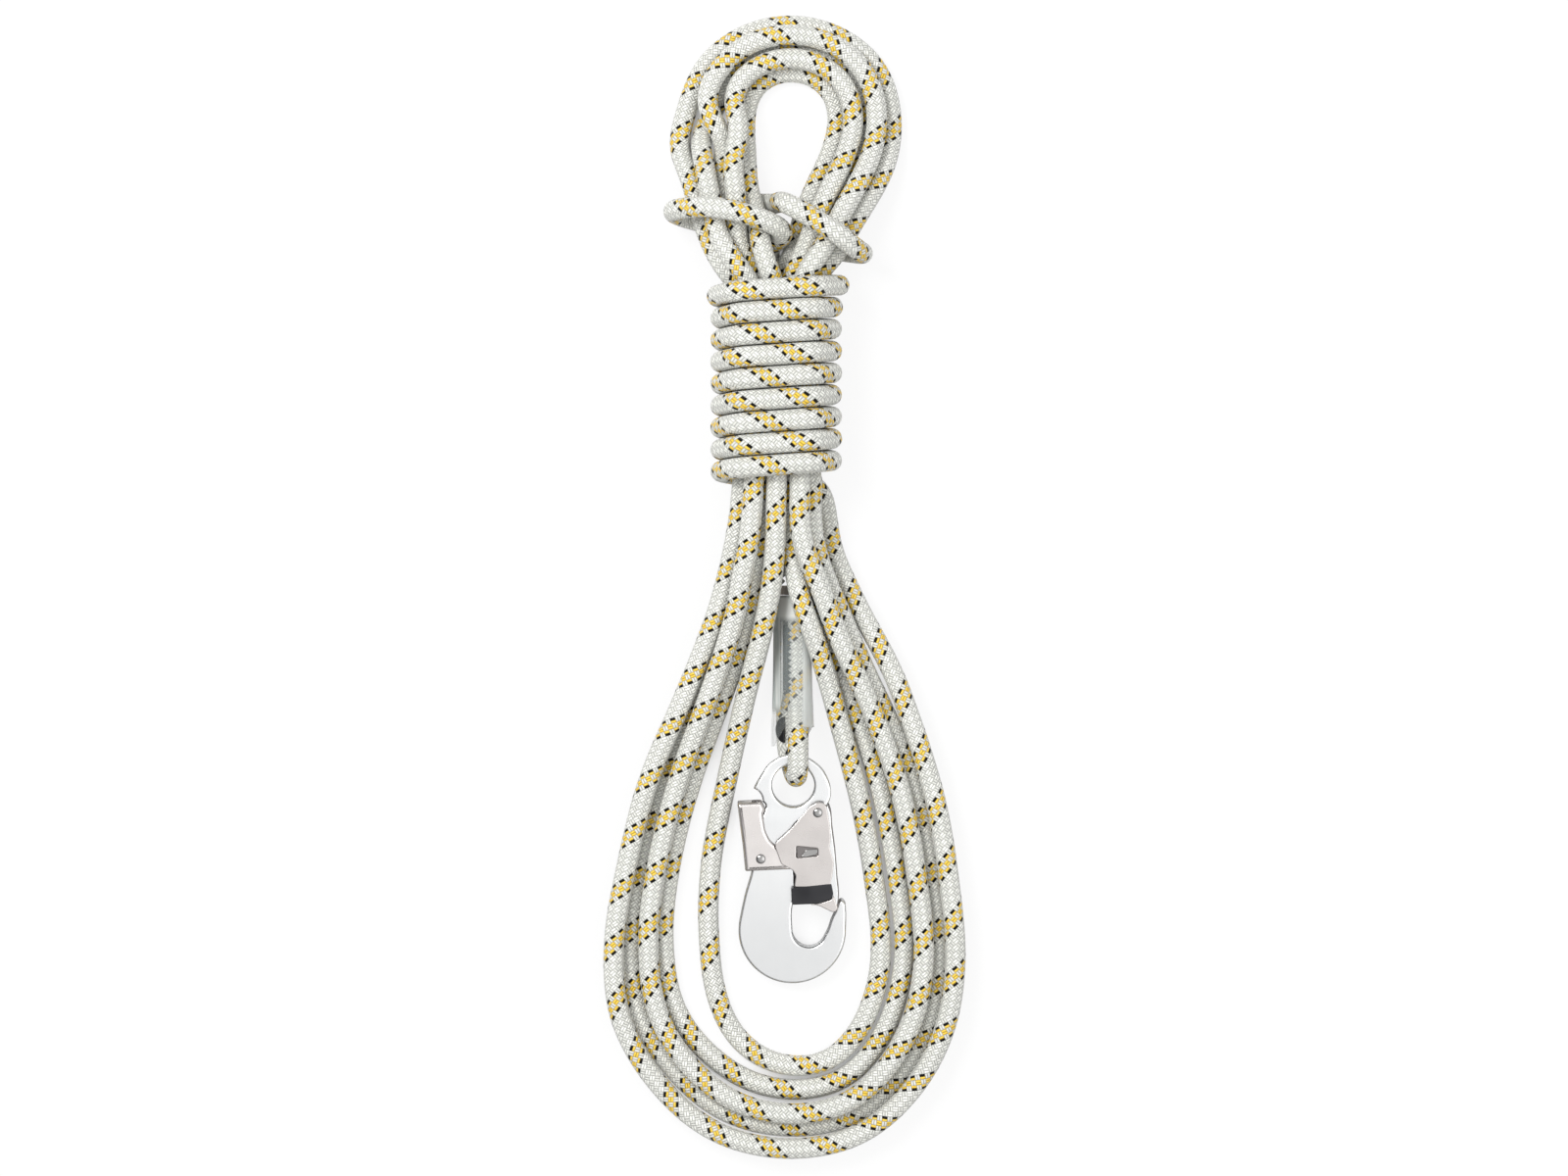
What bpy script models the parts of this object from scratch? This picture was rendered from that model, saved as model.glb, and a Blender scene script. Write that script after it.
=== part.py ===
"""Climbing lanyard: a coiled hank of rope with a sewn eye and a double-lock snap hook.

The part lies flat on the floor, in metres, +Z up. The head of the hank points along +Y,
and the origin is under the middle of its bounding box.
"""

import math

import bmesh
import bpy
import numpy as np
from mathutils import Vector

MM = 0.001
WELD = 0.001 * MM
SHARP_DEG = 35.0
FLOOR_CUTTER_SIZE = 1000.0 * MM

# Rope: its diameter, the air left between two strands, and the flat where it lies
ROPE_D = 11.0 * MM
STRAND_GAP = 0.62 * MM
PITCH = ROPE_D + STRAND_GAP
ROW = PITCH * math.sin(math.radians(60))
FLAT_DEPTH = ROPE_D / 10
FLOOR_Z = ROPE_D / 2 - FLAT_DEPTH
ROUTE_STEP = 4.0 * MM
LEAST_GAP = 0.4 * MM
GAP_STEP = 1.5 * MM
JOINT_GAP = 0.3 * MM

# Hank: loops below the neck, passes round the head above it, turns round the neck
LOOPS = 5
WRAPS = 9
NECK_X = -4.4 * MM
NECK_BOTTOM_Y = 51.0 * MM
NECK_TOP_Y = 152.0 * MM
NECK_STATIONS = 5
FIRST_WRAP_Y = 64.1 * MM
WRAP_PITCH = 11.62 * MM
WRAP_SLACK = 0.55 * MM
NECK_Z = FLOOR_Z + PITCH + WRAP_SLACK + ROW
WRAP_CORNER_STEPS = 3
WRAP_START = 0.18
WRAP_PHASE = 0.75
WRAP_RUN_ON = 0.16
RUN_IN_STEPS = 2
TOP_FLARE_SHARE = 0.14
TOP_FLARE_TURNS = 1.6
BUNDLE_FLARE_SHARE = 0.08
WRAP_LEAD_IN = [(22.6, 41, 5.4), (20, 50.5, 4.6)]

# Levels in a pile of strands, counted in rows above the floor
BOTTOM = (PITCH + WRAP_SLACK) / ROW
MIDDLE = BOTTOM + 1
TOP = BOTTOM + 2

# Middle line of the inmost and outmost strand along a loop, from left of the neck to right of it
LOOP_INNER = [
    (-4, 30), (-9, -11.5), (-20.5, -58), (-31, -105), (-39.5, -149), (-40.5, -188), (-34, -227),
    (-23.5, -244.5), (-9, -254), (6.5, -257.5), (27.5, -252.5), (41.5, -236), (49.5, -215.5),
    (52.5, -196), (49, -159.5), (40, -110), (25.5, -58), (11.5, -11.5), (3.5, 27.5),
]
LOOP_OUTER = [
    (-25, 30), (-35, -11.5), (-53, -58), (-73, -105), (-84, -149), (-91, -191), (-87.5, -231),
    (-70.5, -261.5), (-38, -290.5), (7.5, -300), (41, -292), (66.5, -270.5), (86, -235),
    (91.2, -201), (88, -159.5), (79.5, -110), (61, -58), (39.5, -11.5), (23.5, 27.5),
]

# Where each of the five ranks lies between those lines, and its level, station by station
LOOP_ACROSS_SHARES = [
    (0, 0.33, 0.66, 0.66, 1), (0, 0.33, 0.62, 0.72, 1), (0, 0.38, 0.60, 0.76, 1),
    (0, 0.45, 0.62, 0.80, 1), (0, 0.484, 0.639, 0.831, 1), (0, 0.484, 0.639, 0.831, 1),
    (0, 0.44, 0.62, 0.81, 1), (0, 0.36, 0.60, 0.78, 1), (0, 0.31, 0.58, 0.76, 1),
    (0, 0.29, 0.565, 0.75, 1), (0, 0.29, 0.565, 0.77, 1), (0, 0.29, 0.565, 0.78, 1),
    (0, 0.29, 0.568, 0.788, 1), (0, 0.29, 0.568, 0.788, 1), (0, 0.29, 0.568, 0.788, 1),
    (0, 0.28, 0.56, 0.77, 1), (0, 0.24, 0.50, 0.72, 1), (0, 0.2, 0.35, 0.6, 1),
    (0, 0.2, 0.22, 0.5, 1),
]
LOOP_LEVEL_SHARES = (
    [(TOP, MIDDLE, TOP, BOTTOM, MIDDLE), (2.4, 1.5, 2.6, 0.7, 1.8), (1.2, 0.5, 1.7, 0.2, 1.3),
     (0.3, 0.1, 1.15, 0, 1.05)]
    + [(0, 0, 1, 0, 1)] * 11
    + [(0.3, 0.05, 1.15, 0.1, 1), (1.2, 0.3, 1.7, 0.6, 0.9), (2.5, 0.8, 2.6, 1.5, 0.6),
       (2.1, BOTTOM, TOP, MIDDLE, 0.2)]
)

# The same for the head, from right of the neck round to left of it
HEAD_INNER = [
    (-1, 163), (6, 181), (10.5, 199), (18.5, 217.5), (26.5, 235), (29.5, 252.5), (26, 265),
    (16.5, 273.5), (3.5, 277), (-9.5, 273.5), (-18.5, 265), (-21.5, 252.5), (-21.5, 235),
    (-20.5, 217.5), (-17, 199), (-14, 181), (-9.5, 163),
]
HEAD_OUTER = [
    (22, 163), (29, 181), (39.5, 199), (51, 217.5), (57, 235), (57.5, 252.5), (50.5, 276),
    (30.5, 293.5), (3, 299.5), (-24.5, 293.5), (-44.5, 276), (-52, 252.5), (-51.5, 235),
    (-49, 217.5), (-44.5, 199), (-38, 181), (-30.5, 163),
]
HEAD_ACROSS_SHARES = (
    [(0, 0.33, 0.66, 0.66, 1), (0, 0.32, 0.6, 0.68, 1)]
    + [(0, 0.295, 0.5, 0.705, 1)] * 9
    + [(0, 0.26, 0.54, 0.66, 1), (0, 0.22, 0.7, 0.4, 1), (0, 0.28, 0.7, 0.5, 1),
       (0, 0.3, 0.7, 0.5, 1), (0, 0.32, 0.68, 0.6, 1), (0, 0.33, 0.66, 0.66, 1)]
)
HEAD_LEVEL_SHARES = (
    [(BOTTOM, MIDDLE, BOTTOM, TOP, MIDDLE), (BOTTOM + 0.1, MIDDLE, BOTTOM, TOP - 0.2, MIDDLE - 0.2),
     (BOTTOM, MIDDLE, BOTTOM, MIDDLE + 0.3, BOTTOM + 0.3), (0.75, 1.75, 0.75, 1.75, 0.75),
     (0.1, 1.1, 0.1, 1.1, 0.1)]
    + [(0, 1, 0, 1, 0)] * 6
    + [(0, 1.1, 0.25, 0.75, 0), (0.05, 1.35, 0.6, 0.5, 0.1), (0.8, 1.9, 1.7, 0.8, 0.75),
       (BOTTOM + 0.3, MIDDLE, MIDDLE + 0.2, BOTTOM, BOTTOM),
       (TOP - 0.6, MIDDLE, TOP - 0.3, BOTTOM, MIDDLE - 0.3), (TOP, MIDDLE, TOP, BOTTOM, MIDDLE)]
)

# Each strand's place in the neck: across, in pitches from the neck's axis, and its level
UP_SLOT_SHARES = [(0, BOTTOM), (0.5, MIDDLE), (1, BOTTOM), (1, TOP), (1.5, MIDDLE)]
DOWN_SLOT_SHARES = [(0, TOP), (-0.5, MIDDLE), (-1, TOP), (-1, BOTTOM), (-1.5, MIDDLE)]
BUNDLE_HULL_SHARES = [(1.5, 0), (1, 1), (-1, 1), (-1.5, 0), (-1, -1), (1, -1)]

# The free end: out of the top turn, through the head, round both sides of it and back to the tail
HITCH_ROUTE = [
    (-3.5, 165.5, 4.6), (-6.5, 173, 7.5), (-6.5, 181, 18), (-7, 186.5, 31), (-10, 192, 40),
    (-18.5, 196, 43.5), (-31.5, 199, 42), (-46, 200, 37), (-57.5, 200, 30), (-61.5, 199.5, 21.5),
    (-58.5, 198, 11), (-49, 195.5, 5), (-34, 192, 4.4), (-16, 187.5, 4.4), (5, 183.5, 4.4),
    (24.5, 180, 5), (37.5, 177.5, 11), (43.5, 176.5, 22), (41, 176, 33), (34, 180, 40),
    (23, 188, 42), (11, 196.5, 42.5), (1.5, 202, 41), (-2.5, 204, 33), (-2, 204, 22),
    (-4, 203.5, 12), (-10.5, 204, 5.4), (-21, 205.5, 4.4), (-34, 207, 4.4), (-45, 208.5, 4.4),
]
HOOK_LEG_ROUTE = [(7.15, -60, 17.05), (7.15, -30, 17.05), (7, -6, 17), (5.5, 12, 16.6), (0.5, 32, 16.1)]
SLEEVE_TOP_Y = -5.0 * MM

# Settling: how strands that lie too close are pressed apart
SETTLE_PASSES = 100
SETTLE_NEAR = 16.0 * MM
SETTLE_GAP = 1.2 * MM
SETTLE_PUSH_SHARE = 1.2
SETTLE_SMOOTH_SHARE = 0.05
SETTLE_SKIP = 7
SETTLE_REFRESH = 8
SETTLE_RAMP = 8
SETTLE_BLURS = 4
HOOK_LEG_STEPS = 12

# Tube: chords leave the route by no more than the sag
CHORD_SAG = 0.28 * MM
LEAST_CHORD = 4.0 * MM
LONGEST_CHORD = 27.0 * MM
END_STEP = 1.5 * MM
LEAST_BEND = 0.1
TUBE_RESOLUTION = 1
SEAL_RESOLUTION = 3
SEALED_END_LENGTH = 5.0 * MM
SEALED_END_D = 8.4 * MM

# Sewn eye: two legs in a clear sleeve, and the round turn through the ring of the hook
SLEEVE_CLEARANCE = 1.0 * MM
SLEEVE_WALL = 0.7 * MM
SLEEVE_LIFT = 0.1 * MM
LEG_LEAN_DEG = 59.0
BACK_LEG_X = 1.2 * MM
BACK_LEG_Z = ROPE_D / 2 + SLEEVE_CLEARANCE + SLEEVE_WALL + SLEEVE_LIFT
FRONT_LEG_X = BACK_LEG_X + PITCH * math.cos(math.radians(LEG_LEAN_DEG))
FRONT_LEG_Z = BACK_LEG_Z + PITCH * math.sin(math.radians(LEG_LEAN_DEG))
LEG_SPREAD_Y = -66.0 * MM
LEG_EASE = 7.0 * MM
TURN_CLEARANCE_Y = 1.3 * MM
TURN_CLEARANCE_Z = 0.6 * MM
TURN_STEPS = 12
TURN_DRIFT_SHARE = 0.75
SLEEVE_BULGE = 1.4 * MM
SLEEVE_FRONT_END_Y = -75.0 * MM
SLEEVE_BACK_END_Y = -85.5 * MM
SLEEVE_STATIONS = 9
SLEEVE_ARC_STEPS = 10
THREAD_D = 0.6 * MM
THREAD_TOP_Y = -22.0 * MM
THREAD_BOTTOM_Y = -57.5 * MM
THREAD_STEP = 1.9 * MM
THREAD_WIDTH = 3.2 * MM
THREAD_ACROSS = 6.6 * MM
THREAD_LIFT = 0.15 * MM
LABEL_LENGTH = 35.0 * MM
LABEL_WIDTH = 3.8 * MM
LABEL_ACROSS = 0.4 * MM
LABEL_THICKNESS = 0.35 * MM
LABEL_TOP_Y = -20.5 * MM
LABEL_STATIONS = 5
WEDGE_LENGTH = 14.0 * MM
WEDGE_WIDTH = 5.6 * MM
WEDGE_DEPTH = 1.2 * MM
WEDGE_EDGE = 0.35 * MM
WEDGE_LIFT = 0.15 * MM
WEDGE_LEAN_DEG = 33.0
WEDGE_TOP_Y = -69.6 * MM
WEDGE_STEPS = 10

# Snap hook: forged body, all its sizes measured from the middle of the ring's hole
RING_X = 4.6 * MM
RING_Y = -105.9 * MM
HOOK_TILT_DEG = 5.55
RING_HOLE_R = 11.3 * MM
RING_OUTER_R = 16.7 * MM
RING_THICKNESS = 7.5 * MM
BODY_THICKNESS = 10.0 * MM
BODY_EDGE = 1.0 * MM
RING_EDGE = 1.7 * MM
RING_STEP_R = 12.6 * MM
HOOK_LENGTH = 123.0 * MM
ARC_STEPS = 10
HOLE_STEPS = 24
DOME_STEPS = 4

# Round turn of the eye about the ring's bar
RING_BAR = RING_OUTER_R - RING_HOLE_R
TURN_RADIUS_Y = (RING_BAR + ROPE_D) / 2 + TURN_CLEARANCE_Y
TURN_RADIUS_Z = (RING_THICKNESS + ROPE_D) / 2 + TURN_CLEARANCE_Z

# Pressed channels: the lever grips the body, and the gate grips the lever
SHEET = 1.5 * MM
PLATE_GAP = 0.3 * MM
LEVER_INNER = BODY_THICKNESS / 2 + PLATE_GAP
LEVER_OUTER = LEVER_INNER + SHEET
GATE_INNER = LEVER_OUTER + PLATE_GAP
GATE_OUTER = GATE_INNER + SHEET
SHEET_EDGE = 0.35 * MM
PIN_R = 1.7 * MM
PIN_CLEARANCE = 0.3 * MM
PIN_HEAD_R = 2.6 * MM
PIN_HEAD_H = 1.2 * MM
SPACER_R = 3.9 * MM
WINDOW_LENGTH = 10.6 * MM
WINDOW_TALL_END = 6.4 * MM
WINDOW_LOW_END = 4.2 * MM

# Round forms and pins of the hook, as shares of its length: middle across and down, and radius
GATE_PIN_SHARES = (0.1065, -0.1114)
LEVER_PIN_SHARES = (-0.1398, -0.3154)
BOSS_SHARES = (*GATE_PIN_SHARES, 0.0325)
THROAT_SHARES = (0.0683, -0.6333, 0.0715)
BELLY_SHARES = (-0.0041, -0.6317, 0.2325)
WINDOW_SHARES = (0.0130, -0.2870)
RING_ARC_DEG = (130, 372)
BOSS_ARC_DEG = (30, -100)
THROAT_ARC_DEG = (180, 338)
BELLY_ARC_DEG = (0, -200)

# Outlines of the hook's pieces, as shares of the hook's length from the middle of the ring's hole
RING_SHOULDER_SHARES = [(0.1445, 0.016), (0.1510, -0.024), (0.1470, -0.0540), (0.1280, -0.0720)]
UPPER_THROAT_SHARES = [
    (0.0650, -0.1420), (0.0240, -0.1560), (-0.0040, -0.2030), (0.0040, -0.2900), (0.0080, -0.3740),
    (0.0080, -0.4860), (-0.0024, -0.5244),
]
NOSE_SHARES = [
    (0.1485, -0.6330), (0.1650, -0.5855), (0.1790, -0.5550), (0.1870, -0.5320), (0.1940, -0.5110),
    (0.2090, -0.4980), (0.2240, -0.5110), (0.2290, -0.5390), (0.2300, -0.5855),
]
SPINE_SHARES = [
    (-0.2276, -0.5530), (-0.2073, -0.4715), (-0.1797, -0.3740), (-0.1707, -0.3252), (-0.1504, -0.2033),
    (-0.1268, -0.1098), (-0.1200, -0.0943), (-0.1309, -0.0683), (-0.1382, -0.0415), (-0.1620, -0.0260),
    (-0.1710, -0.0110), (-0.1650, 0.0100), (-0.1530, 0.0370), (-0.1333, 0.0618), (-0.1080, 0.0940),
    (-0.0780, 0.1187),
]
LEVER_SHARES = [
    (-0.0057, -0.3634), (-0.2073, -0.3724), (-0.2180, -0.2600), (-0.2423, -0.0732), (-0.1366, -0.0675),
    (-0.1211, -0.1024), (-0.1301, -0.1195), (-0.1179, -0.1935), (-0.1000, -0.2317), (-0.0600, -0.2700),
    (-0.0180, -0.2960),
]
LEVER_CHANNEL_SHARES = [
    (0.0600, -0.4100), (-0.1920, -0.4100), (-0.2060, -0.2600), (-0.2330, -0.0300), (0.0600, -0.0300),
]
GATE_SHARES = [
    (0.1033, -0.0675), (0.0715, -0.0846), (-0.0130, -0.1862), (-0.0756, -0.2423), (-0.0789, -0.2593),
    (-0.0512, -0.3366), (-0.0024, -0.3618), (0.0122, -0.3862), (0.0049, -0.4360), (0.1642, -0.4360),
    (0.1626, -0.4211), (0.1699, -0.3862), (0.1764, -0.3260), (0.1569, -0.2593), (0.1626, -0.2317),
    (0.1593, -0.1748), (0.1500, -0.1150), (0.1415, -0.0780), (0.1250, -0.0680),
]
GATE_CHANNEL_SHARES = [
    (0.1290, -0.0300), (-0.1300, -0.0300), (-0.1300, -0.4700), (0.1500, -0.4700), (0.1490, -0.4100),
    (0.1560, -0.3860), (0.1620, -0.3260), (0.1440, -0.2610), (0.1490, -0.2300), (0.1460, -0.1750),
    (0.1430, -0.1150), (0.1340, -0.0850),
]
TIP_SHARES = [
    (-0.0089, -0.4400), (-0.0057, -0.5138), (0.0789, -0.5138), (0.1276, -0.5333), (0.1560, -0.5450),
    (0.1710, -0.5300), (0.1660, -0.4900), (0.1642, -0.4400),
]
TIP_CHANNEL_SHARES = [(-0.0600, -0.4100), (-0.0600, -0.5700), (0.1500, -0.5700), (0.1500, -0.4100)]

# Looks: colour, roughness and metallic value of each piece
ROPE_LOOK = ((0.86, 0.86, 0.84), 0.45, 0.0)
SEAL_LOOK = ((0.72, 0.68, 0.6), 0.5, 0.0)
EYE_SEAL_LOOK = ((0.42, 0.16, 0.12), 0.5, 0.0)
SLEEVE_LOOK = ((0.8, 0.83, 0.83), 0.15, 0.0)
THREAD_LOOK = ((0.9, 0.9, 0.9), 0.6, 0.0)
LABEL_LOOK = ((0.32, 0.36, 0.37), 0.4, 0.0)
WEDGE_LOOK = ((0.015, 0.015, 0.017), 0.2, 0.0)
BODY_LOOK = ((0.72, 0.75, 0.78), 0.25, 1.0)
GATE_LOOK = ((0.78, 0.74, 0.72), 0.3, 1.0)
LEVER_LOOK = ((0.76, 0.73, 0.71), 0.3, 1.0)
TIP_LOOK = ((0.05, 0.055, 0.06), 0.35, 0.6)
PIN_LOOK = ((0.85, 0.84, 0.83), 0.15, 1.0)


def clear_scene():
    """Remove whatever the scene holds."""
    for obj in list(bpy.data.objects):
        bpy.data.objects.remove(obj)


def new_collection(name):
    """Add a collection to the scene."""
    collection = bpy.data.collections.new(name)
    bpy.context.scene.collection.children.link(collection)
    return collection


def material(name, look):
    """A Principled material from a colour, a roughness and a metallic value."""
    colour, roughness, metallic = look
    made = bpy.data.materials.new(name)
    made.use_nodes = True
    shader = made.node_tree.nodes["Principled BSDF"]
    shader.inputs["Base Color"].default_value = (*colour, 1.0)
    shader.inputs["Roughness"].default_value = roughness
    shader.inputs["Metallic"].default_value = metallic
    return made


def in_metres(points):
    """A table in millimetres as an array in metres."""
    return np.array(points, float) * MM


def along(points):
    """Distance along a route at each of its points."""
    return np.concatenate([[0.0], np.cumsum(np.linalg.norm(np.diff(points, axis=0), axis=1))])


def smooth_route(guide, step):
    """A smooth curve through the guide's points, with a point about every step."""
    p = np.asarray(guide, float)
    t = along(p)
    d = np.diff(t)[:, None]
    slope = np.diff(p, axis=0) / d
    tangent = np.empty_like(p)
    tangent[1:-1] = (slope[:-1] * d[1:] + slope[1:] * d[:-1]) / (d[1:] + d[:-1])
    tangent[0] = (3 * slope[0] - tangent[1]) / 2
    tangent[-1] = (3 * slope[-1] - tangent[-2]) / 2
    s = np.linspace(0, t[-1], int(round(t[-1] / step)) + 1)
    k = np.clip(np.searchsorted(t, s, side="right") - 1, 0, len(d) - 1)
    u = ((s - t[k]) / d[k, 0])[:, None]
    return (
        (2 * u**3 - 3 * u**2 + 1) * p[k]
        + (u**3 - 2 * u**2 + u) * d[k] * tangent[k]
        + (3 * u**2 - 2 * u**3) * p[k + 1]
        + (u**3 - u**2) * d[k] * tangent[k + 1]
    )


def station(inner, outer, share, level):
    """A strand's place between the inmost and the outmost line, at its level in the pile."""
    x, y = inner + share * (outer - inner)
    return (x, y, FLOOR_Z + level * ROW)


def loop_guide(rank):
    """One loop below the neck, down its left side and up its right."""
    rows = zip(in_metres(LOOP_INNER), in_metres(LOOP_OUTER), LOOP_ACROSS_SHARES, LOOP_LEVEL_SHARES)
    return [station(a, b, share[rank], level[rank]) for a, b, share, level in rows]


def head_guide(rank):
    """One pass round the head above the neck, up its right side and down its left."""
    rows = zip(in_metres(HEAD_INNER), in_metres(HEAD_OUTER), HEAD_ACROSS_SHARES, HEAD_LEVEL_SHARES)
    return [station(a, b, share[rank], level[rank]) for a, b, share, level in rows]


def neck_guide(slot):
    """A strand's straight run up through the neck, spread a little under the top turns."""
    across, level = slot
    ys = np.linspace(NECK_BOTTOM_Y, NECK_TOP_Y, NECK_STATIONS)
    flares = 1 + BUNDLE_FLARE_SHARE * (np.arange(NECK_STATIONS) == NECK_STATIONS - 1)
    return [(NECK_X + across * PITCH * f, y, FLOOR_Z + level * ROW) for y, f in zip(ys, flares)]


def wrap_section():
    """The rounded outline, across the neck, that a turn follows round the bundle."""
    hull = np.array(BUNDLE_HULL_SHARES) * (PITCH, ROW)
    points = []
    for before, here, after in zip(np.roll(hull, 1, 0), hull, np.roll(hull, -1, 0)):
        start = math.atan2(*(here - before)[::-1]) - math.pi / 2
        end = math.atan2(*(after - here)[::-1]) - math.pi / 2
        end += 2 * math.pi * (end < start)
        angles = np.linspace(start, end, WRAP_CORNER_STEPS + 1)
        points += [here + (PITCH + WRAP_SLACK) * np.array([math.cos(a), math.sin(a)]) for a in angles]
    return np.array(points + points[:1])


def wraps_at(turns):
    """Points on the turns round the neck: a helix that climbs, its last turn opening out."""
    section = wrap_section()
    t = along(section)
    s = (-turns % 1.0) * t[-1]
    opening = np.clip((turns - (WRAPS - TOP_FLARE_TURNS)) / TOP_FLARE_TURNS, 0, None)
    x = np.interp(s, t, section[:, 0]) * (1 + TOP_FLARE_SHARE * opening**2)
    y = FIRST_WRAP_Y + (turns - WRAP_PHASE) * WRAP_PITCH
    z = np.interp(s, t, section[:, 1])
    return np.stack([NECK_X + x, y, NECK_Z + z], axis=1)


def wraps_route():
    """The turns round the neck, evenly stepped."""
    steps = int(along(wrap_section())[-1] / ROUTE_STEP * WRAPS)
    return wraps_at(np.linspace(WRAP_START, WRAPS + WRAP_RUN_ON, steps + 1))


def wraps_line():
    """The turns round the neck with a point at each point of their section, so that all lie alike."""
    t = along(wrap_section())
    corners = [turn + 1 - mark / t[-1] for turn in range(WRAPS + 1) for mark in t[:-1]]
    trim = JOINT_GAP / 2 / t[-1]
    start, end = WRAP_START + trim, WRAPS + WRAP_RUN_ON - trim
    return wraps_at(np.array([start, *sorted(c for c in corners if start < c < end), end]))


def rope_guide():
    """Guide points of the rope from the sleeve to the first turn round the neck."""
    guide = [tuple(p) for p in in_metres(HOOK_LEG_ROUTE)] + neck_guide(UP_SLOT_SHARES[0])
    for rank in range(LOOPS):
        guide += head_guide(rank) + neck_guide(DOWN_SLOT_SHARES[rank])[::-1] + loop_guide(rank)
        if rank < LOOPS - 1:
            guide += neck_guide(UP_SLOT_SHARES[rank + 1])
    return guide + list(in_metres(WRAP_LEAD_IN))


def near_pairs(points, skip):
    """Pairs of points that lie near each other but apart along the rope."""
    first, second = [], []
    for k, point in enumerate(points):
        later = points[k + skip + 1 :]
        near = np.nonzero(((later - point) ** 2).sum(1) < SETTLE_NEAR**2)[0]
        first.append(np.full(len(near), k))
        second.append(near + k + skip + 1)
    return np.concatenate(first), np.concatenate(second)


def sleeve_push(points):
    """How far each point has to move to stay clear of the sleeve's two legs."""
    ys = np.arange(SLEEVE_FRONT_END_Y, SLEEVE_TOP_Y, ROUTE_STEP)
    legs = [(FRONT_LEG_X, y, FRONT_LEG_Z) for y in ys] + [(BACK_LEG_X, y, BACK_LEG_Z) for y in ys]
    reach = ROPE_D + SLEEVE_CLEARANCE + SLEEVE_WALL + LEAST_GAP
    apart = points[:, None, :] - np.array(legs)[None, :, :]
    far = np.linalg.norm(apart, axis=2)
    near = far.argmin(1)
    rows = np.arange(len(points))
    out = np.clip(reach - far[rows, near], 0, None) / far[rows, near]
    return apart[rows, near] * out[:, None]


def settle(points, free):
    """Press apart strands that lie closer than a rope, as a tightened hank does."""
    for turn in range(SETTLE_PASSES):
        if turn % SETTLE_REFRESH == 0:
            a, b = near_pairs(points, SETTLE_SKIP)
        apart = points[b] - points[a]
        far = np.linalg.norm(apart, axis=1)
        gap = STRAND_GAP + (SETTLE_GAP - STRAND_GAP) * np.maximum(free[a], free[b])
        push = np.clip(ROPE_D + gap - far, 0, None)
        shove = apart * (push / far / np.maximum(free[a] + free[b], 1))[:, None]
        move = np.zeros_like(points)
        count = np.zeros(len(points))
        np.add.at(move, a, -shove)
        np.add.at(move, b, shove)
        np.add.at(count, a, push > 0)
        np.add.at(count, b, push > 0)
        move = move / np.sqrt(np.maximum(count, 1))[:, None] + sleeve_push(points) * free[:, None]
        for _ in range(SETTLE_BLURS):
            move[1:-1] = (move[:-2] + 2 * move[1:-1] + move[2:]) / 4
        bend = np.zeros_like(points)
        bend[1:-1] = (points[:-2] + points[2:]) / 2 - points[1:-1]
        points = points + (SETTLE_PUSH_SHARE * move + SETTLE_SMOOTH_SHARE * bend) * free[:, None]
        points[:, 2] = np.maximum(points[:, 2], FLOOR_Z)
    return points


def run_into(guide, turns):
    """A smooth route that runs on into the turns in their own direction, and ends at their start."""
    start, ahead = turns[:2]
    whole = smooth_route([*guide, 2 * start - ahead, start, ahead], ROUTE_STEP)
    beyond = int(round(np.linalg.norm(ahead - start) / ROUTE_STEP)) + 1
    return np.concatenate([whole[:-beyond], turns[:1]])


def rope_route():
    """The settled route of the hank, and where its turns begin and end."""
    turns = wraps_route()
    main = run_into(rope_guide(), turns)
    tail = run_into(in_metres(HITCH_ROUTE)[::-1], turns[::-1])[::-1]
    points = np.concatenate([main, turns[1:-1], tail])
    first, last = len(main) - 1, len(main) + len(turns) - 2
    place = np.arange(len(points))
    beyond = np.maximum(first - place, place - last) - RUN_IN_STEPS
    free = np.clip(beyond / SETTLE_RAMP, 0, 1)
    free[: int(-SLEEVE_TOP_Y / ROUTE_STEP) + HOOK_LEG_STEPS] = 0
    return settle(points, free), first, last


def eye_route():
    """The hook's leg out of the sleeve, round the bar of the ring and back up beside itself."""
    bar_y, bar_z = swing_axis()
    straight = (SLEEVE_TOP_Y, LEG_SPREAD_Y / 2, LEG_SPREAD_Y + LEG_EASE, LEG_SPREAD_Y)
    down = [(FRONT_LEG_X, y, FRONT_LEG_Z) for y in straight]
    around = []
    for k in range(TURN_STEPS + 1):
        angle = math.pi * k / TURN_STEPS
        drift = TURN_DRIFT_SHARE * (k / TURN_STEPS) ** 2
        x = FRONT_LEG_X + drift * (BACK_LEG_X - FRONT_LEG_X)
        y = bar_y - TURN_RADIUS_Y * math.sin(angle)
        z = bar_z + TURN_RADIUS_Z * math.cos(angle)
        around.append((x, y, max(z, FLOOR_Z)))
    back = [(BACK_LEG_X, y, BACK_LEG_Z) for y in straight[::-1]]
    return smooth_route(down + around + back, ROUTE_STEP / 2)


def least_gap(*routes):
    """Least air between strands, measured on the middle lines at points a millimetre or so apart."""
    lines, marks = [], []
    for route in routes:
        t = along(route)
        s = np.arange(0, t[-1], GAP_STEP)
        lines.append(np.stack([np.interp(s, t, route[:, k]) for k in range(3)], axis=1))
        marks.append(s + (marks[-1][-1] + JOINT_GAP if marks else 0))
    line, mark = np.concatenate(lines), np.concatenate(marks)
    least, place = math.inf, line[0]
    for point, here in zip(line, mark):
        later = line[mark - here > SETTLE_SKIP * ROUTE_STEP]
        apart = np.linalg.norm(later - point, axis=1).min(initial=math.inf)
        if apart < least:
            least, place = apart, point
    return least - ROPE_D, place


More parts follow.
